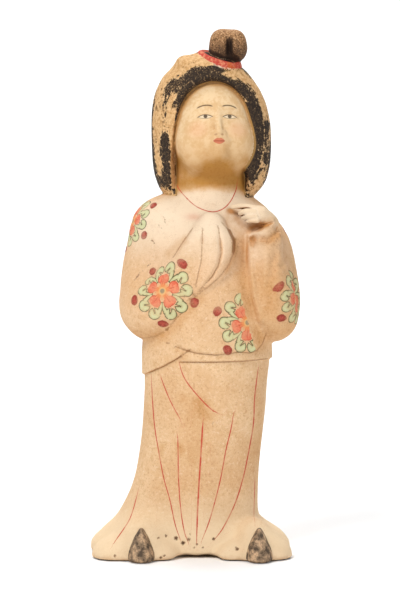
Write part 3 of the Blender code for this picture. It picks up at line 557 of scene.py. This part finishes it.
# rosettes: a point on the cloth is found from outside along (azimuth, start) at a height; then the turn in degrees, the size and how far right it is painted
ROSETTES = [
    ("left", -25.0, 207.6, None, 53.0, 0.835, None),
    ("left", None, 260.5, (-74.0, -22.0, 8.0), 47.0, 0.73, None),
    ("body", 40.2, 183.0, None, 16.0, 0.835, (37.0, 0.26)),
    ("right", None, 203.0, (43.0, 58.0, -2.0), 9.0, 0.78, None),
    ("right", None, 250.0, (128.0, 36.0, 8.0), 20.0, 0.82, None),
    ("left", None, 206.0, (-150.0, -34.0, 0.0), 10.0, 0.82, None),
    ("right", None, 205.0, (150.0, 56.0, 2.0), 40.0, 0.82, None),
    ("body", None, 186.0, (178.0, 9.0, 0.0), 25.0, 0.82, None),
    ("body", None, 246.0, (190.0, 9.0, 0.0), 50.0, 0.82, None)]


def signed_line(x, z, width, pts):
    """Distance to a brush line, signed by side and scaled so that the paint ends where it reaches 1."""
    pts = np.array(pts, float)
    e = np.vstack([2 * pts[0] - pts[1], pts, 2 * pts[-1] - pts[-2]])
    fine = []
    for i in range(1, len(e) - 2):
        for t in np.arange(6) / 6:
            fine.append(0.5 * (2 * e[i] + (e[i + 1] - e[i - 1]) * t + (2 * e[i - 1] - 5 * e[i] + 4 * e[i + 1] - e[i + 2]) * t * t
                               + (3 * e[i] - e[i - 1] - 3 * e[i + 1] + e[i + 2]) * t ** 3))
    fine = np.array(fine + [pts[-1]])
    best, side, along = np.full(len(x), 1e9), np.zeros(len(x)), np.zeros(len(x))
    n = len(fine) - 1
    for i in range(n):
        a, b = fine[i], fine[i + 1]
        ab = b - a
        t = np.clip(((x - a[0]) * ab[0] + (z - a[1]) * ab[1]) / (ab @ ab), 0, 1)
        dx, dz = x - a[0] - t * ab[0], z - a[1] - t * ab[1]
        d = np.hypot(dx, dz)
        near = d < best
        best[near] = d[near]
        side[near] = np.sign(dx * ab[1] - dz * ab[0])[near]
        along[near] = ((i + t) / n)[near]
    taper = width * (0.35 + 0.65 * np.minimum(1, np.minimum(along, 1 - along) / 0.14))
    return side * best / taper


def brush_lines(p):
    out = np.full((len(p), 3), 60.0)
    for rows, which in ((FRONT_LINES, p[:, 1] < 6), (BACK_LINES, p[:, 1] >= 6)):
        for column, width, pts in rows:
            d = signed_line(p[:, 0], p[:, 2], width, pts)
            d = np.where(which, d, 60.0)
            take = np.abs(d) < np.abs(out[:, column])
            out[take, column] = d[take]
    return np.clip(out, -60, 60)


def rosette_space(p, parts):
    """For each point the place inside its nearest rosette, in the rosette's own units, and 1 where it is painted."""
    out = np.zeros((len(p), 3))
    out[:, 0] = 100.0
    best = np.full(len(p), 38.5)
    for part, x, z, ray, turn, unit, limit in ROSETTES:
        if ray is None:
            start, way = np.array([x, -110.0, z]), np.array([0.0, 1.0, 0.0])
        else:
            az = math.radians(ray[0])
            way = np.array([-math.sin(az), math.cos(az), 0.0])
            start = np.array([ray[1], ray[2], z]) - way * 110.0
        for _ in range(80):
            gap = form(start[None])[0]
            start = start + way * max(gap, 0.0) * 0.8
        _, n = slope_of(start[None], 3.0)
        n = n[0] / np.linalg.norm(n[0]) + (np.array([0, -1.6, 0]) if ray is None else 0)
        n = n / np.linalg.norm(n)
        right = np.cross(np.array([0, 0, 1.0]), n)
        right /= np.linalg.norm(right)
        up = np.cross(n, right)
        d = p - start
        r = np.sqrt((d ** 2).sum(1)) / unit
        a = np.arctan2(d @ up, d @ right) - math.radians(turn)
        ok = (r < best) & (d @ n > -26)
        other = [parts[k] for k in ("left", "right", "body") if k != part]
        ok &= parts[part] < np.minimum(*other) + (6.0 if part != "body" else 1.2)
        if limit:
            ok &= p[:, 0] < limit[0] + (200 - p[:, 2]) * limit[1]
        best[ok] = r[ok]
        out[ok, 0], out[ok, 1], out[ok, 2] = (r * np.cos(a))[ok], (r * np.sin(a))[ok], 1.0
    return out


def rubbed(p, rows, back):
    """Sum of soft strokes along lines in the front view, fading towards the back."""
    out = np.zeros(len(p))
    for amount, width, pts in rows:
        out += amount * np.exp(-(line2(p[:, 0], p[:, 2], pts)[0] / width) ** 2)
    return out * ease(-p[:, 1], -back, -back + 10)


def paint_data(p, n):
    """Everything that the material reads from the surface, at each point."""
    _, f = form(p, parts=True)
    f["left"] = np.minimum(f["left"], f["fan"])
    cloth = np.minimum(np.minimum(f["body"], f["left"]), f["right"])
    skin_ = np.minimum(f["head"], f["neck"])
    hair = np.minimum(f["hair"], f["core"])
    rest = {"hair": np.minimum.reduce([cloth, skin_, f["band"], f["bun"]]), "bun": np.minimum.reduce([hair, f["band"], cloth]),
            "band": np.minimum.reduce([hair, f["bun"], cloth]), "shoe": cloth, "hand": cloth,
            "head": np.minimum(hair, cloth)}
    own = {"hair": hair, "bun": f["bun"], "band": f["band"], "shoe": f["shoe"], "hand": f["hand"], "head": skin_}
    k = {name: np.clip(rest[name] - own[name], -5, 5) for name in own}
    open_ = sum(np.clip(form(p + n * d) / d, 0, 1) for d in (2.5, 5.0, 10.0)) / 3
    tight = np.clip(form(p + n * 1.2) / 1.2, 0, 1)
    # around the face: distance out from the rim of the hair, and the way round
    dx, dz = p[:, 0] - 14.6, (p[:, 2] - 333.0) / 1.16
    rho, phi = np.hypot(dx, dz), np.arctan2(dz, dx)
    smudge = np.exp(-((p[:, 0] + 1.5) / 5.5) ** 2 - ((p[:, 2] - 264) / 2.6) ** 2) * (p[:, 1] < 0)
    pit = np.full(len(p), 9.0)
    for x, z, r in PITS:
        d = np.hypot(p[:, 0] - x, p[:, 2] - z) - r
        pit = np.minimum(pit, np.where(p[:, 1] < -15, d, 9.0))
    for pts in SCRATCHES:
        d = line2(p[:, 0], p[:, 2], pts)[0] - 0.25
        pit = np.minimum(pit, np.where(p[:, 1] < 0, d, 9.0))
    return {"k_hair": np.stack([k["hair"], k["bun"], k["band"]], 1), "k_more": np.stack([k["shoe"], k["hand"], k["head"]], 1),
            "lines": brush_lines(p), "rosette": rosette_space(p, f), "head_q": f["q"],
            "open": np.stack([open_, tight, pit], 1), "round_face": np.stack([rho, phi, p[:, 1]], 1),
            "wear": np.stack([rubbed(p, HAIR_WEAR, 16), rubbed(p, STAINS_AND_SHADE, 10), smudge], 1),
            "crease_shade": np.stack([rubbed(p, CREASE_SHADE, 12), p[:, 0] * 0, p[:, 0] * 0], 1)}


# ------------------------------------------------------------------ the material
class Value:
    """A shader value that can be reckoned with."""

    def __init__(self, graph, socket):
        self.g, self.s = graph, socket

    def __add__(self, o):
        return self.g.math("ADD", self, o)

    __radd__ = __add__

    def __sub__(self, o):
        return self.g.math("SUBTRACT", self, o)

    def __rsub__(self, o):
        return self.g.math("SUBTRACT", o, self)

    def __mul__(self, o):
        return self.g.math("MULTIPLY", self, o)

    __rmul__ = __mul__

    def __truediv__(self, o):
        return self.g.math("DIVIDE", self, o)

    def __neg__(self):
        return self.g.math("MULTIPLY", self, -1.0)


class Graph:
    def __init__(self, tree):
        self.tree = tree

    def node(self, kind, **options):
        n = self.tree.nodes.new(kind)
        for key, value in options.items():
            setattr(n, key, value)
        return n

    def put(self, value, socket):
        if isinstance(value, Value):
            self.tree.links.new(value.s, socket)
        else:
            socket.default_value = value

    def math(self, operation, *args, clamp=False):
        n = self.node("ShaderNodeMath", operation=operation, use_clamp=clamp)
        for value, socket in zip(args, n.inputs):
            self.put(value, socket)
        return Value(self, n.outputs[0])

    def vmath(self, operation, *args, out=0):
        n = self.node("ShaderNodeVectorMath", operation=operation)
        for value, socket in zip(args, n.inputs):
            self.put(value, socket)
        return Value(self, n.outputs[out])

    def xyz(self, vector):
        n = self.node("ShaderNodeSeparateXYZ")
        self.put(vector, n.inputs[0])
        return [Value(self, o) for o in n.outputs]

    def vec(self, x, y, z=0.0):
        n = self.node("ShaderNodeCombineXYZ")
        for value, socket in zip((x, y, z), n.inputs):
            self.put(value, socket)
        return Value(self, n.outputs[0])

    def attribute(self, name):
        return Value(self, self.node("ShaderNodeAttribute", attribute_name=name).outputs["Vector"])

    def step(self, value, low, high, soft=True):
        """0 below low, 1 above high."""
        n = self.node("ShaderNodeMapRange", interpolation_type="SMOOTHSTEP" if soft else "LINEAR")
        for v, i in ((value, 0), (low, 1), (high, 2), (0.0, 3), (1.0, 4)):
            self.put(v, n.inputs[i])
        return Value(self, n.outputs[0])

    def noise(self, where, scale, detail=2.0, rough=0.5, distort=0.0):
        n = self.node("ShaderNodeTexNoise")
        self.put(where, n.inputs["Vector"])
        n.inputs["Scale"].default_value = scale
        n.inputs["Detail"].default_value = detail
        n.inputs["Roughness"].default_value = rough
        n.inputs["Distortion"].default_value = distort
        return Value(self, n.outputs["Fac"])

    def spots(self, where, scale, randomness=1.0):
        n = self.node("ShaderNodeTexVoronoi")
        self.put(where, n.inputs["Vector"])
        n.inputs["Scale"].default_value = scale
        n.inputs["Randomness"].default_value = randomness
        return Value(self, n.outputs["Distance"])

    def mix(self, amount, a, b):
        n = self.node("ShaderNodeMix", data_type="RGBA")
        self.put(amount, n.inputs[0])
        for value, i in ((a, 6), (b, 7)):
            if isinstance(value, Value):
                self.put(value, n.inputs[i])
            else:
                n.inputs[i].default_value = linear(value)
        return Value(self, n.outputs[2])

    def least(self, a, b):
        return self.math("MINIMUM", a, b)

    def most(self, a, b):
        return self.math("MAXIMUM", a, b)

    def size(self, x, y):
        return self.vmath("LENGTH", self.vec(x, y), out=1)

    def both(self, *values):
        out = values[0]
        for v in values[1:]:
            out = out * v
        return out


def linear(rgb):
    """An sRGB colour from 0 to 255 as the shader wants it."""
    return tuple((c / 255 / 12.92 if c / 255 <= 0.04045 else ((c / 255 + 0.055) / 1.055) ** 2.4) for c in rgb) + (1.0,)



def painted_clay():
    """Pale fired clay with a worn cream ground, red brush lines, rosettes, hair and shoes in dark paint."""
    material = bpy.data.materials.new("painted_clay")
    material.use_nodes = True
    tree = material.node_tree
    g = Graph(tree)
    shader = tree.nodes["Principled BSDF"]
    at_ = g.vmath("SCALE", Value(g, g.node("ShaderNodeTexCoord").outputs["Object"]))
    at_.s.node.inputs["Scale"].default_value = 1000.0
    px, py, pz = g.xyz(at_)
    opened, tight, pit = g.xyz(g.attribute("open"))
    k_hair, k_bun, k_band = g.xyz(g.attribute("k_hair"))
    k_shoe, k_hand, k_head = g.xyz(g.attribute("k_more"))

    broad = g.noise(at_, 0.022, 3, 0.55)
    mid = g.noise(at_, 0.11, 4, 0.6)
    fine = g.noise(at_, 0.75, 3, 0.65)
    tiny = g.noise(at_, 2.6, 2, 0.6)

    # clay and its worn cream ground
    grit = g.noise(at_, 0.42, 3, 0.7)
    c = g.mix(g.step(broad + mid * 0.5, 0.60, 0.95), (232, 190, 146), (246, 212, 172))
    c = g.mix(g.step(mid, 0.54, 0.70) * 0.5, c, (220, 172, 122))
    c = g.mix(g.step(grit, 0.52, 0.72) * 0.55, c, (205, 156, 108))
    c = g.mix(g.step(grit, 0.46, 0.28) * 0.50, c, (255, 232, 204))
    c = g.mix(g.step(fine, 0.56, 0.72) * 0.55, c, (190, 138, 94))
    c = g.mix(g.step(fine, 0.42, 0.28) * 0.40, c, (255, 236, 208))
    # the chest and sleeves are rosier than the skirt
    c = g.mix(g.step(pz, 150.0, 230.0) * g.step(broad, 0.35, 0.6) * 0.28, c, (250, 206, 176))
    c = g.mix(g.step(pz, 215.0, 262.0) * g.step(py, 4.0, -14.0) * 0.78, c, (255, 238, 216))
    c = g.mix(g.step(tiny, 0.62, 0.70) * g.step(mid, 0.42, 0.56) * 0.75, c, (150, 106, 72))
    # earth and painted shade in the hollows, golden stains that also paint shade under overhangs, painted shade in the
    # creases, and changes towards the ground
    rub, stain_and_shade, smudge = g.xyz(g.attribute("wear"))
    # earth with painted shade in the hollows, kept off the bottom
    hollow_earth_and_shade = g.step(1.0 - opened + (mid - 0.5) * 0.25, 0.24, 0.78) * g.step(pz, 1.0, 9.0)
    c = g.mix(hollow_earth_and_shade * 0.88, c, (206, 142, 78))
    # golden earth stains, and painted shade under the chin, under the sleeves' edges, beside the fan and under the hand
    gold_stain_and_shade = g.step(stain_and_shade + (mid - 0.5) * 0.7 + (fine - 0.5) * 0.3, 0.02, 1.15, soft=False)
    c = g.mix(gold_stain_and_shade * 0.80, c, (206, 146, 76))
    c = g.mix(g.step(stain_and_shade, 0.35, 0.95) * g.step(grit, 0.50, 0.66) * 0.38, c, (150, 100, 50))
    c = g.mix(g.step(stain_and_shade, 0.50, 1.0) * g.step(fine, 0.58, 0.68) * 0.30, c, (110, 74, 42))
    # painted shade along the folds' creases and overhanging edges
    crease_shade = g.xyz(g.attribute("crease_shade"))[0]
    c = g.mix(g.step(crease_shade + (fine - 0.5) * 0.7, 0.25, 1.0) * 0.75, c, (146, 96, 50))
    c = g.mix(smudge * 0.42, c, (214, 128, 104))
    # painted shade in tight corners and along crisp edges, kept off the bottom
    c = g.mix(g.step(1.0 - tight + (fine - 0.5) * 0.4, 0.45, 1.0) * g.step(pz, 1.0, 9.0) * 0.7, c, (112, 70, 36))
    # paler on the lower skirt, and darker in a thin band at the very bottom
    c = g.mix(g.step(pz, 60.0, 14.0) * 0.74, c, (255, 234, 202))
    c = g.mix(g.step(pz + (mid - 0.5) * 12.0, 5.0, 0.0) * 0.40, c, (200, 148, 98))
    # painted contact shadow: a dark rim round the foot where it meets the ground, left off under the arch
    c = g.mix(g.step(pz, 1.2, 0.7) * g.step(g.math("ABSOLUTE", px - 1.5), 17.0, 21.0), c, (34, 26, 22))

    # face and neck: smoother cream
    q = g.attribute("head_q")
    qx, qy, qz = g.xyz(q)
    skin_ = g.step(k_head + (fine - 0.5) * 1.4, -0.3, 0.5) * g.step(qz + (mid - 0.5) * 6.0, -55.0, -48.0)
    flesh = g.mix(g.step(mid + (grit - 0.5) * 0.6, 0.36, 0.64), (248, 218, 176), (234, 194, 144))
    # darker towards the chin, earth with painted shade in the hollows, and golden stain with painted shade under the
    # chin
    flesh = g.mix(g.step(qz + (mid - 0.5) * 14.0, -2.0, -32.0) * 0.45, flesh, (220, 172, 116))
    flesh = g.mix(hollow_earth_and_shade * 0.75, flesh, (205, 150, 84))
    flesh = g.mix(g.step(stain_and_shade + (mid - 0.5) * 0.5, 0.05, 1.15, soft=False) * 0.94, flesh, (188, 134, 56))
    flesh = g.mix(g.step(stain_and_shade, 0.5, 1.1) * g.step(grit, 0.48, 0.64) * 0.22, flesh, (164, 108, 50))
    c = g.mix(skin_ * 0.92, c, flesh)
    ax = g.math("ABSOLUTE", qx)
    front = g.step(qy, -14.0, -19.0) * g.step(k_head, 0.5, 1.5)
    cheek = g.step(g.size((ax - 15.5) * 1.0, (qz + 9.5) * 1.1), 11.0, 2.0) * front
    c = g.mix(cheek * 0.30, c, (236, 160, 122))
    # brows, eyes and lips
    ex = ax - 9.6
    brow = g.math("ABSOLUTE", qz - 9.6 + (ax - 9.0) * (ax - 9.0) * 0.040)
    brow = g.step(brow, 0.75, 0.30) * g.step(g.math("ABSOLUTE", ax - 9.6), 6.6, 4.6) * front
    upper = qz - 2.1 + ex * ex * 0.062
    lower = qz + 1.0 - ex * ex * 0.040
    inside = g.step(upper, 0.1, -0.25) * g.step(lower, -0.1, 0.2) * g.step(g.math("ABSOLUTE", ex), 5.8, 5.2) * front
    c = g.mix(inside * 0.6, c, (250, 238, 214))
    iris = g.step(g.size(ex + 0.2, qz - 0.7), 1.75, 1.25) * inside
    c = g.mix(iris * 0.9, c, (70, 54, 42))
    lash = g.step(g.math("ABSOLUTE", upper), 0.55, 0.22) * g.step(g.math("ABSOLUTE", ex), 6.6, 5.0) * front
    under = g.step(g.math("ABSOLUTE", lower), 0.36, 0.14) * g.step(g.math("ABSOLUTE", ex), 5.4, 4.0) * front * 0.55
    c = g.mix(g.most(g.most(brow * 0.85, lash * 0.9), under), c, (78, 58, 44))
    lip_h = 2.45 - qx * qx * 0.105 - g.step(ax, 1.4, 0.0) * 0.5
    lip_l = -2.5 + qx * qx * 0.12
    lip = g.step(qz + 19.9 - lip_h, 0.25, -0.25) * g.step(qz + 19.9 - lip_l, -0.25, 0.25) * front
    c = g.mix(lip * 0.85, c, (214, 116, 88))
    seam = g.step(g.math("ABSOLUTE", qz + 20.1 - ax * 0.05), 0.42, 0.14) * g.step(ax, 4.7, 3.6) * front
    c = g.mix(seam * 0.8, c, (150, 62, 46))

    # painted shade under the nose
    nostril_shade = g.step(g.size(ax - 2.5, (qz + 15.0) * 1.5), 1.5, 0.7) * g.step(qy, -24.0, -27.0) * skin_
    c = g.mix(nostril_shade * 0.5, c, (164, 104, 62))

    # hand: painted shade between the fingers and a painted highlight on its open surfaces
    hand = g.step(k_hand, 0.1, 0.6)
    c = g.mix(hand * g.step(tight, 0.80, 0.45) * 0.7, c, (112, 70, 40))
    c = g.mix(hand * g.step(tight, 0.9, 1.0) * 0.4, c, (242, 214, 178))

    # brush lines
    cloth = g.least(g.step(k_hair, 0.1, -0.3), g.step(k_shoe, 0.1, -0.3))
    la, lb, lc = g.xyz(g.attribute("lines"))
    near = g.least(g.least(g.math("ABSOLUTE", la), g.math("ABSOLUTE", lb)), g.math("ABSOLUTE", lc))
    line = g.step(near + (fine - 0.5) * 1.2, 1.45, 0.60) * (0.58 + g.step(mid, 0.34, 0.58) * 0.42)
    c = g.mix(line * cloth, c, (208, 84, 66))

    # rosettes
    c = rosette(g, c, fine, mid, grit)

    # pits near the hem
    ragged = pit + (grit - 0.5) * 3.4 + (fine - 0.5) * 1.4
    c = g.mix(g.step(ragged, 0.45, -0.25) * cloth * 0.75, c, (128, 88, 60))
    c = g.mix(g.step(ragged, -0.45, -1.0) * cloth * 0.8, c, (70, 48, 36))

    # hair: dark paint, worn in streaks that run round the face
    rho, phi, depth = g.xyz(g.attribute("round_face"))
    streak = g.noise(g.vec(rho * 0.30, phi * 1.5, depth * 0.16), 1.0, 4, 0.62)
    fleck = g.noise(at_, 0.42, 4, 0.72)
    wear = (g.noise(at_, 0.035, 2, 0.5) - 0.5) * 0.5 + (streak - 0.5) * 2.0 + (fleck - 0.5) * 1.5
    worn = g.step(wear + rub, 0.14, 0.36)
    ink = g.mix(g.step(fleck, 0.45, 0.7), (52, 42, 35), (92, 74, 56))
    bare_c = g.mix(g.step(fleck, 0.35, 0.65), (206, 158, 102), (242, 204, 156))
    specks = g.step(g.noise(at_, 0.9, 3, 0.75) + (broad - 0.5) * 0.35, 0.60, 0.68) * 0.8
    hair = g.mix(g.most(worn, specks), ink, bare_c)
    hair = g.mix(g.step(k_hair + (fleck - 0.5) * 1.5, 2.4, 1.3) * g.step(py, 6.0, -2.0) * g.step(pz, 279.0, 283.0) * g.step(pz, 377.0, 373.0) * 0.85, hair, (198, 154, 92))
    hair_m = g.step(k_hair + (fine - 0.5) * 1.6, -0.2, 0.4)
    c = g.mix(hair_m, c, hair)
    # bun, ribbon, shoes
    speck = g.noise(at_, 0.85, 3, 0.7)
    bun = g.mix(g.step(speck + (pz - 397.0) * 0.007, 0.36, 0.58), (84, 62, 46), (172, 128, 88))
    bun = g.mix(g.step(speck + (pz - 397.0) * 0.006, 0.56, 0.66) * 0.8, bun, (228, 188, 146))
    bun = g.mix(g.step(pz + (speck - 0.5) * 8.0, 403.0, 389.0) * 0.55, bun, (84, 66, 52))
    wedge = g.step(g.math("ABSOLUTE", px - 26.6) + (fleck - 0.5) * 3.0, 3.8, 2.0) * g.step(pz + (fleck - 0.5) * 6.0, 404.5, 401.0) * g.step(py, 0.0, -4.0)
    bun = g.mix(wedge * 0.85, bun, (46, 31, 24))
    # painted shade in the bun's hollows
    bun = g.mix(g.step(1.0 - opened + (fine - 0.5) * 0.3, 0.34, 0.72) * 0.8, bun, (40, 28, 22))
    # painted shadow where the hair shows between the bun and the ribbon
    c = g.mix(g.step(pz + px * 0.36, 391.5, 392.5) * hair_m, c, (46, 32, 26))
    c = g.mix(g.step(k_bun + (fine - 0.5) * 1.0, -0.2, 0.4), c, bun)
    band = g.mix(g.step(fleck, 0.48, 0.62), (206, 78, 66), (232, 150, 116))
    band = g.mix(g.step(mid + (fine - 0.5) * 0.3, 0.50, 0.58) * 0.6, band, (214, 110, 52))
    band = g.mix(g.step(speck, 0.58, 0.66) * 0.5, band, (150, 62, 52))
    c = g.mix(g.step(k_band + (fine - 0.5) * 1.2, -0.3, 0.3), c, band)
    shoe_t = g.noise(at_, 0.21, 4, 0.62)
    shoe = g.mix(g.step(shoe_t, 0.38, 0.56), (92, 78, 66), (170, 144, 118))
    shoe = g.mix(g.step(shoe_t, 0.54, 0.62) * 0.8, shoe, (232, 196, 160))
    shoe = g.mix(g.step(fleck, 0.56, 0.68) * 0.6, shoe, (60, 50, 44))
    c = g.mix(g.step(k_shoe + (fine - 0.5) * 0.9, -0.1, 0.4), c, shoe)

    tint = g.vmath("MULTIPLY", c)
    tint.s.node.inputs[1].default_value = (0.775, 0.745, 0.690)
    g.put(tint, shader.inputs["Base Color"])
    shader.inputs["Roughness"].default_value = 0.82
    shader.inputs["Specular IOR Level"].default_value = 0.22
    grain = fine * 0.55 + tiny * 0.25 + mid * 0.5
    bump = g.node("ShaderNodeBump")
    bump.inputs["Strength"].default_value = 0.55
    bump.inputs["Distance"].default_value = 0.0006
    g.put(grain, bump.inputs["Height"])
    tree.links.new(bump.outputs["Normal"], shader.inputs["Normal"])
    return material


def rosette(g, c, fine, mid, grit):
    """A five-petalled coral flower with curled leaves and a bud in each gap, brushed on by hand."""
    u, v, mask = g.xyz(g.attribute("rosette"))
    r = g.size(u, v)
    fifth = math.tau / 5
    wobble = (mid - 0.5) * 0.16
    turn = g.math("ARCTAN2", v, u) + wobble
    # the gaps lie at 0, 72, ... degrees and the petals half way between them
    s = turn / fifth
    gap = (s - g.math("ROUND", s)) * fifth
    s2 = s + 0.5
    petal = (s2 - g.math("ROUND", s2)) * fifth
    rr = r + (fine - 0.5) * 1.2
    on = g.step(mask, 0.97, 1.0)
    fade = on * (0.62 + g.step(mid, 0.34, 0.60) * 0.36) * g.step(fine, 0.76, 0.62)
    # leaves: a stem that widens and rolls back on itself on each side of the gap
    gx, gy = rr * g.math("COSINE", gap), g.math("ABSOLUTE", rr * g.math("SINE", gap))
    head = g.size(gx - 21.4, gy - 7.9) - 5.5
    along = g.step(gx, 11.0, 20.0, soft=False)
    stem = g.math("ABSOLUTE", gy - 0.9 - along * along * 3.2) - (0.9 + along * 1.7)
    stem = g.most(stem, g.most(10.5 - gx, gx - 21.0))
    into = g.step(gx, 12.5, 20.8, soft=False)
    notch = g.math("ABSOLUTE", gy - 9.2 + into * 1.8) - (1.5 - into * 1.2)
    notch = g.most(notch, gx - 20.8)
    leaf = g.most(g.least(head, stem), 0.0 - notch)
    outline = g.step(g.math("ABSOLUTE", leaf), 0.75, 0.25) * g.step(grit, 0.30, 0.46)
    c = g.mix(g.step(leaf, 0.3, -0.3) * fade * 0.80, c, (208, 214, 164))
    c = g.mix(g.step(leaf + (grit - 0.5) * 3.0, -0.6, -2.6) * fade * 0.7, c, (224, 232, 188))
    c = g.mix(outline * fade * 0.92, c, (84, 84, 52))
    # the bud beyond the leaves
    bud = g.size((gx - 31.4) * 1.26, gy * 0.95) + (mid - 0.5) * 2.0 + (grit - 0.5) * 1.6
    c = g.mix(g.step(bud, 5.4, 4.5) * fade, c, (168, 70, 58))
    c = g.mix(g.step(bud + (grit - 0.5) * 4.0, 3.6, 1.0) * fade * 0.7, c, (214, 100, 86))
    c = g.mix(g.step(fine, 0.50, 0.60) * g.step(bud, 4.9, 4.0) * fade * 0.55, c, (124, 42, 38))
    # petals: two rounded lobes each, apart from their neighbours and joined to the heart
    ex, ey = rr * g.math("COSINE", petal), g.math("ABSOLUTE", rr * g.math("SINE", petal))
    lobe = g.size(ex - 11.9, ey - 1.6)
    neck = g.most(ey - 0.2 - ex * 0.30, g.most(4.2 - ex, ex - 12.0)) + 4.4
    lobe = g.least(lobe, neck)
    c = g.mix(g.step(lobe, 4.9, 4.2) * fade, c, (236, 112, 84))
    c = g.mix(g.step(grit, 0.46, 0.58) * g.step(lobe, 4.6, 3.6) * fade * 0.6, c, (252, 172, 134))
    c = g.mix(g.step(g.math("ABSOLUTE", lobe - 4.2), 0.7, 0.2) * g.step(mid, 0.40, 0.55) * fade * 0.6, c, (196, 74, 62))
    c = g.mix(g.step(ey, 0.7, 0.25) * g.step(g.math("ABSOLUTE", ex - 8.5), 4.5, 3.4) * fade * 0.5, c, (190, 84, 60))
    # heart
    c = g.mix(g.step(rr, 9.5, 4.0) * fade * 0.85, c, (246, 164, 100))
    c = g.mix(g.step(rr, 4.2, 2.6) * fade * 0.7, c, (236, 206, 140))
    c = g.mix(g.step(rr, 2.7, 1.8) * fade * 0.9, c, (156, 142, 122))
    return c


# ------------------------------------------------------------------ the figure
BASE_CELL = 2.45
REFINE = (13.0, 15.0)

points, faces = figure_mesh()
_, slope = slope_of(points)
normals = slope / (np.sqrt((slope ** 2).sum(1, keepdims=True)) + 1e-9)
data = paint_data(points, normals)
for x, z, r in PITS:                                       # small pits and broken bubbles near the hem
    d = np.hypot(points[:, 0] - x, points[:, 2] - z) / r
    points = points - normals * (0.65 * r * np.exp(-d ** 3) * (points[:, 1] < -15))[:, None]

waves = np.zeros(len(points))                              # the crumpled face of the right sleeve
for k, size in ((1.0, 0.55), (2.1, 0.28)):
    a, b = points @ np.array([0.55, 0.20, 0.31]) * k, points @ np.array([-0.23, 0.35, 0.52]) * k
    waves += size * np.sin(a + 1.7 * np.sin(b * 0.6)) * np.sin(b + 1.3 * np.sin(a * 0.5 + 2.0))
spot = np.exp(-((points[:, 0] - 62) / 14) ** 2 - ((points[:, 2] - 224) / 32) ** 2) + 0.3 * np.exp(-((points[:, 0] - 52) / 12) ** 2 - ((points[:, 2] - 250) / 10) ** 2)
points = points + normals * (waves * spot * ease(-points[:, 1], 0, 14))[:, None]

mesh = bpy.data.meshes.new("painted_figure")
mesh.from_pydata(((points - np.array([MIDDLE[0], MIDDLE[1], 0.0])) / 1000.0).tolist(), [], faces.tolist())
mesh.update()
for name, values in data.items():
    layer = mesh.attributes.new(name, "FLOAT_VECTOR", "POINT")
    layer.data.foreach_set("vector", np.ascontiguousarray(values, np.float32).reshape(-1))
mesh.shade_smooth()
figure = bpy.data.objects.new("painted_figure", mesh)
bpy.context.scene.collection.objects.link(figure)
mesh.materials.append(painted_clay())
print("figure:", len(points), "points,", len(faces), "triangles")

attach(figure, "root")
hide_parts(NODE)


# ------------------------------------------------------------------ studio
def backdrop():
    """A pale floor that curves up into a wall well behind the figure."""
    rows = [(-3.0, 0.0), (1.2, 0.0)]
    rows += [(1.2 + 0.8 * math.sin(a), 0.8 - 0.8 * math.cos(a)) for a in np.linspace(0.1, math.pi / 2, 14)]
    rows += [(2.0, 4.0)]
    verts = [(x, y, z) for y, z in rows for x in (-5.0, 5.0)]
    faces = [(2 * i, 2 * i + 1, 2 * i + 3, 2 * i + 2) for i in range(len(rows) - 1)]
    m = bpy.data.meshes.new("backdrop")
    m.from_pydata(verts, [], faces)
    m.shade_smooth()
    material = bpy.data.materials.new("pale_backdrop")
    material.use_nodes = True
    shader = material.node_tree.nodes["Principled BSDF"]
    shader.inputs["Base Color"].default_value = (0.95, 0.95, 0.95, 1)
    shader.inputs["Roughness"].default_value = 0.9
    shader.inputs["Specular IOR Level"].default_value = 0.0
    m.materials.append(material)
    o = bpy.data.objects.new("backdrop", m)
    bpy.context.scene.collection.objects.link(o)


def area(name, place, aim, size, energy, colour=(1, 1, 1)):
    light = bpy.data.lights.new(name, "AREA")
    light.shape = "DISK"
    light.size, light.energy, light.color = size, energy, colour
    o = bpy.data.objects.new(name, light)
    o.location = place
    o.rotation_euler = (Vector(aim) - Vector(place)).to_track_quat("-Z", "Y").to_euler()
    bpy.context.scene.collection.objects.link(o)


backdrop()
area("key_light", (-0.9, -1.5, 1.75), (0, 0, 0.22), 0.9, 40)
area("fill_light", (1.5, -1.5, 0.8), (0, 0, 0.2), 1.4, 12.0)
area("floor_light", (0.0, 0.9, 2.3), (0, 0.7, 0), 2.0, 40)

world = bpy.data.worlds.new("studio")
world.use_nodes = True
world.node_tree.nodes["Background"].inputs["Color"].default_value = (1, 1, 1, 1)
world.node_tree.nodes["Background"].inputs["Strength"].default_value = 0.24
bpy.context.scene.world = world
bpy.context.scene.view_settings.view_transform = "Standard"

# the camera stands low, almost level with the figure's middle
AWAY, RISE, PER_MM = 1.8, math.radians(2.5), 1 / 0.7836
camera = bpy.data.cameras.new("camera")
camera.sensor_fit = "VERTICAL"
camera.sensor_height = 24.0
camera.lens = AWAY * 1000 * PER_MM / 600 * 24.0
eye = bpy.data.objects.new("camera", camera)
bpy.context.scene.collection.objects.link(eye)
aim = Vector((0.0039, 0.0024, 0.1987))
back = Vector((0, -math.cos(RISE), math.sin(RISE)))
eye.location = aim + back * AWAY
eye.rotation_euler = (-back).to_track_quat("-Z", "Y").to_euler()
bpy.context.scene.camera = eye
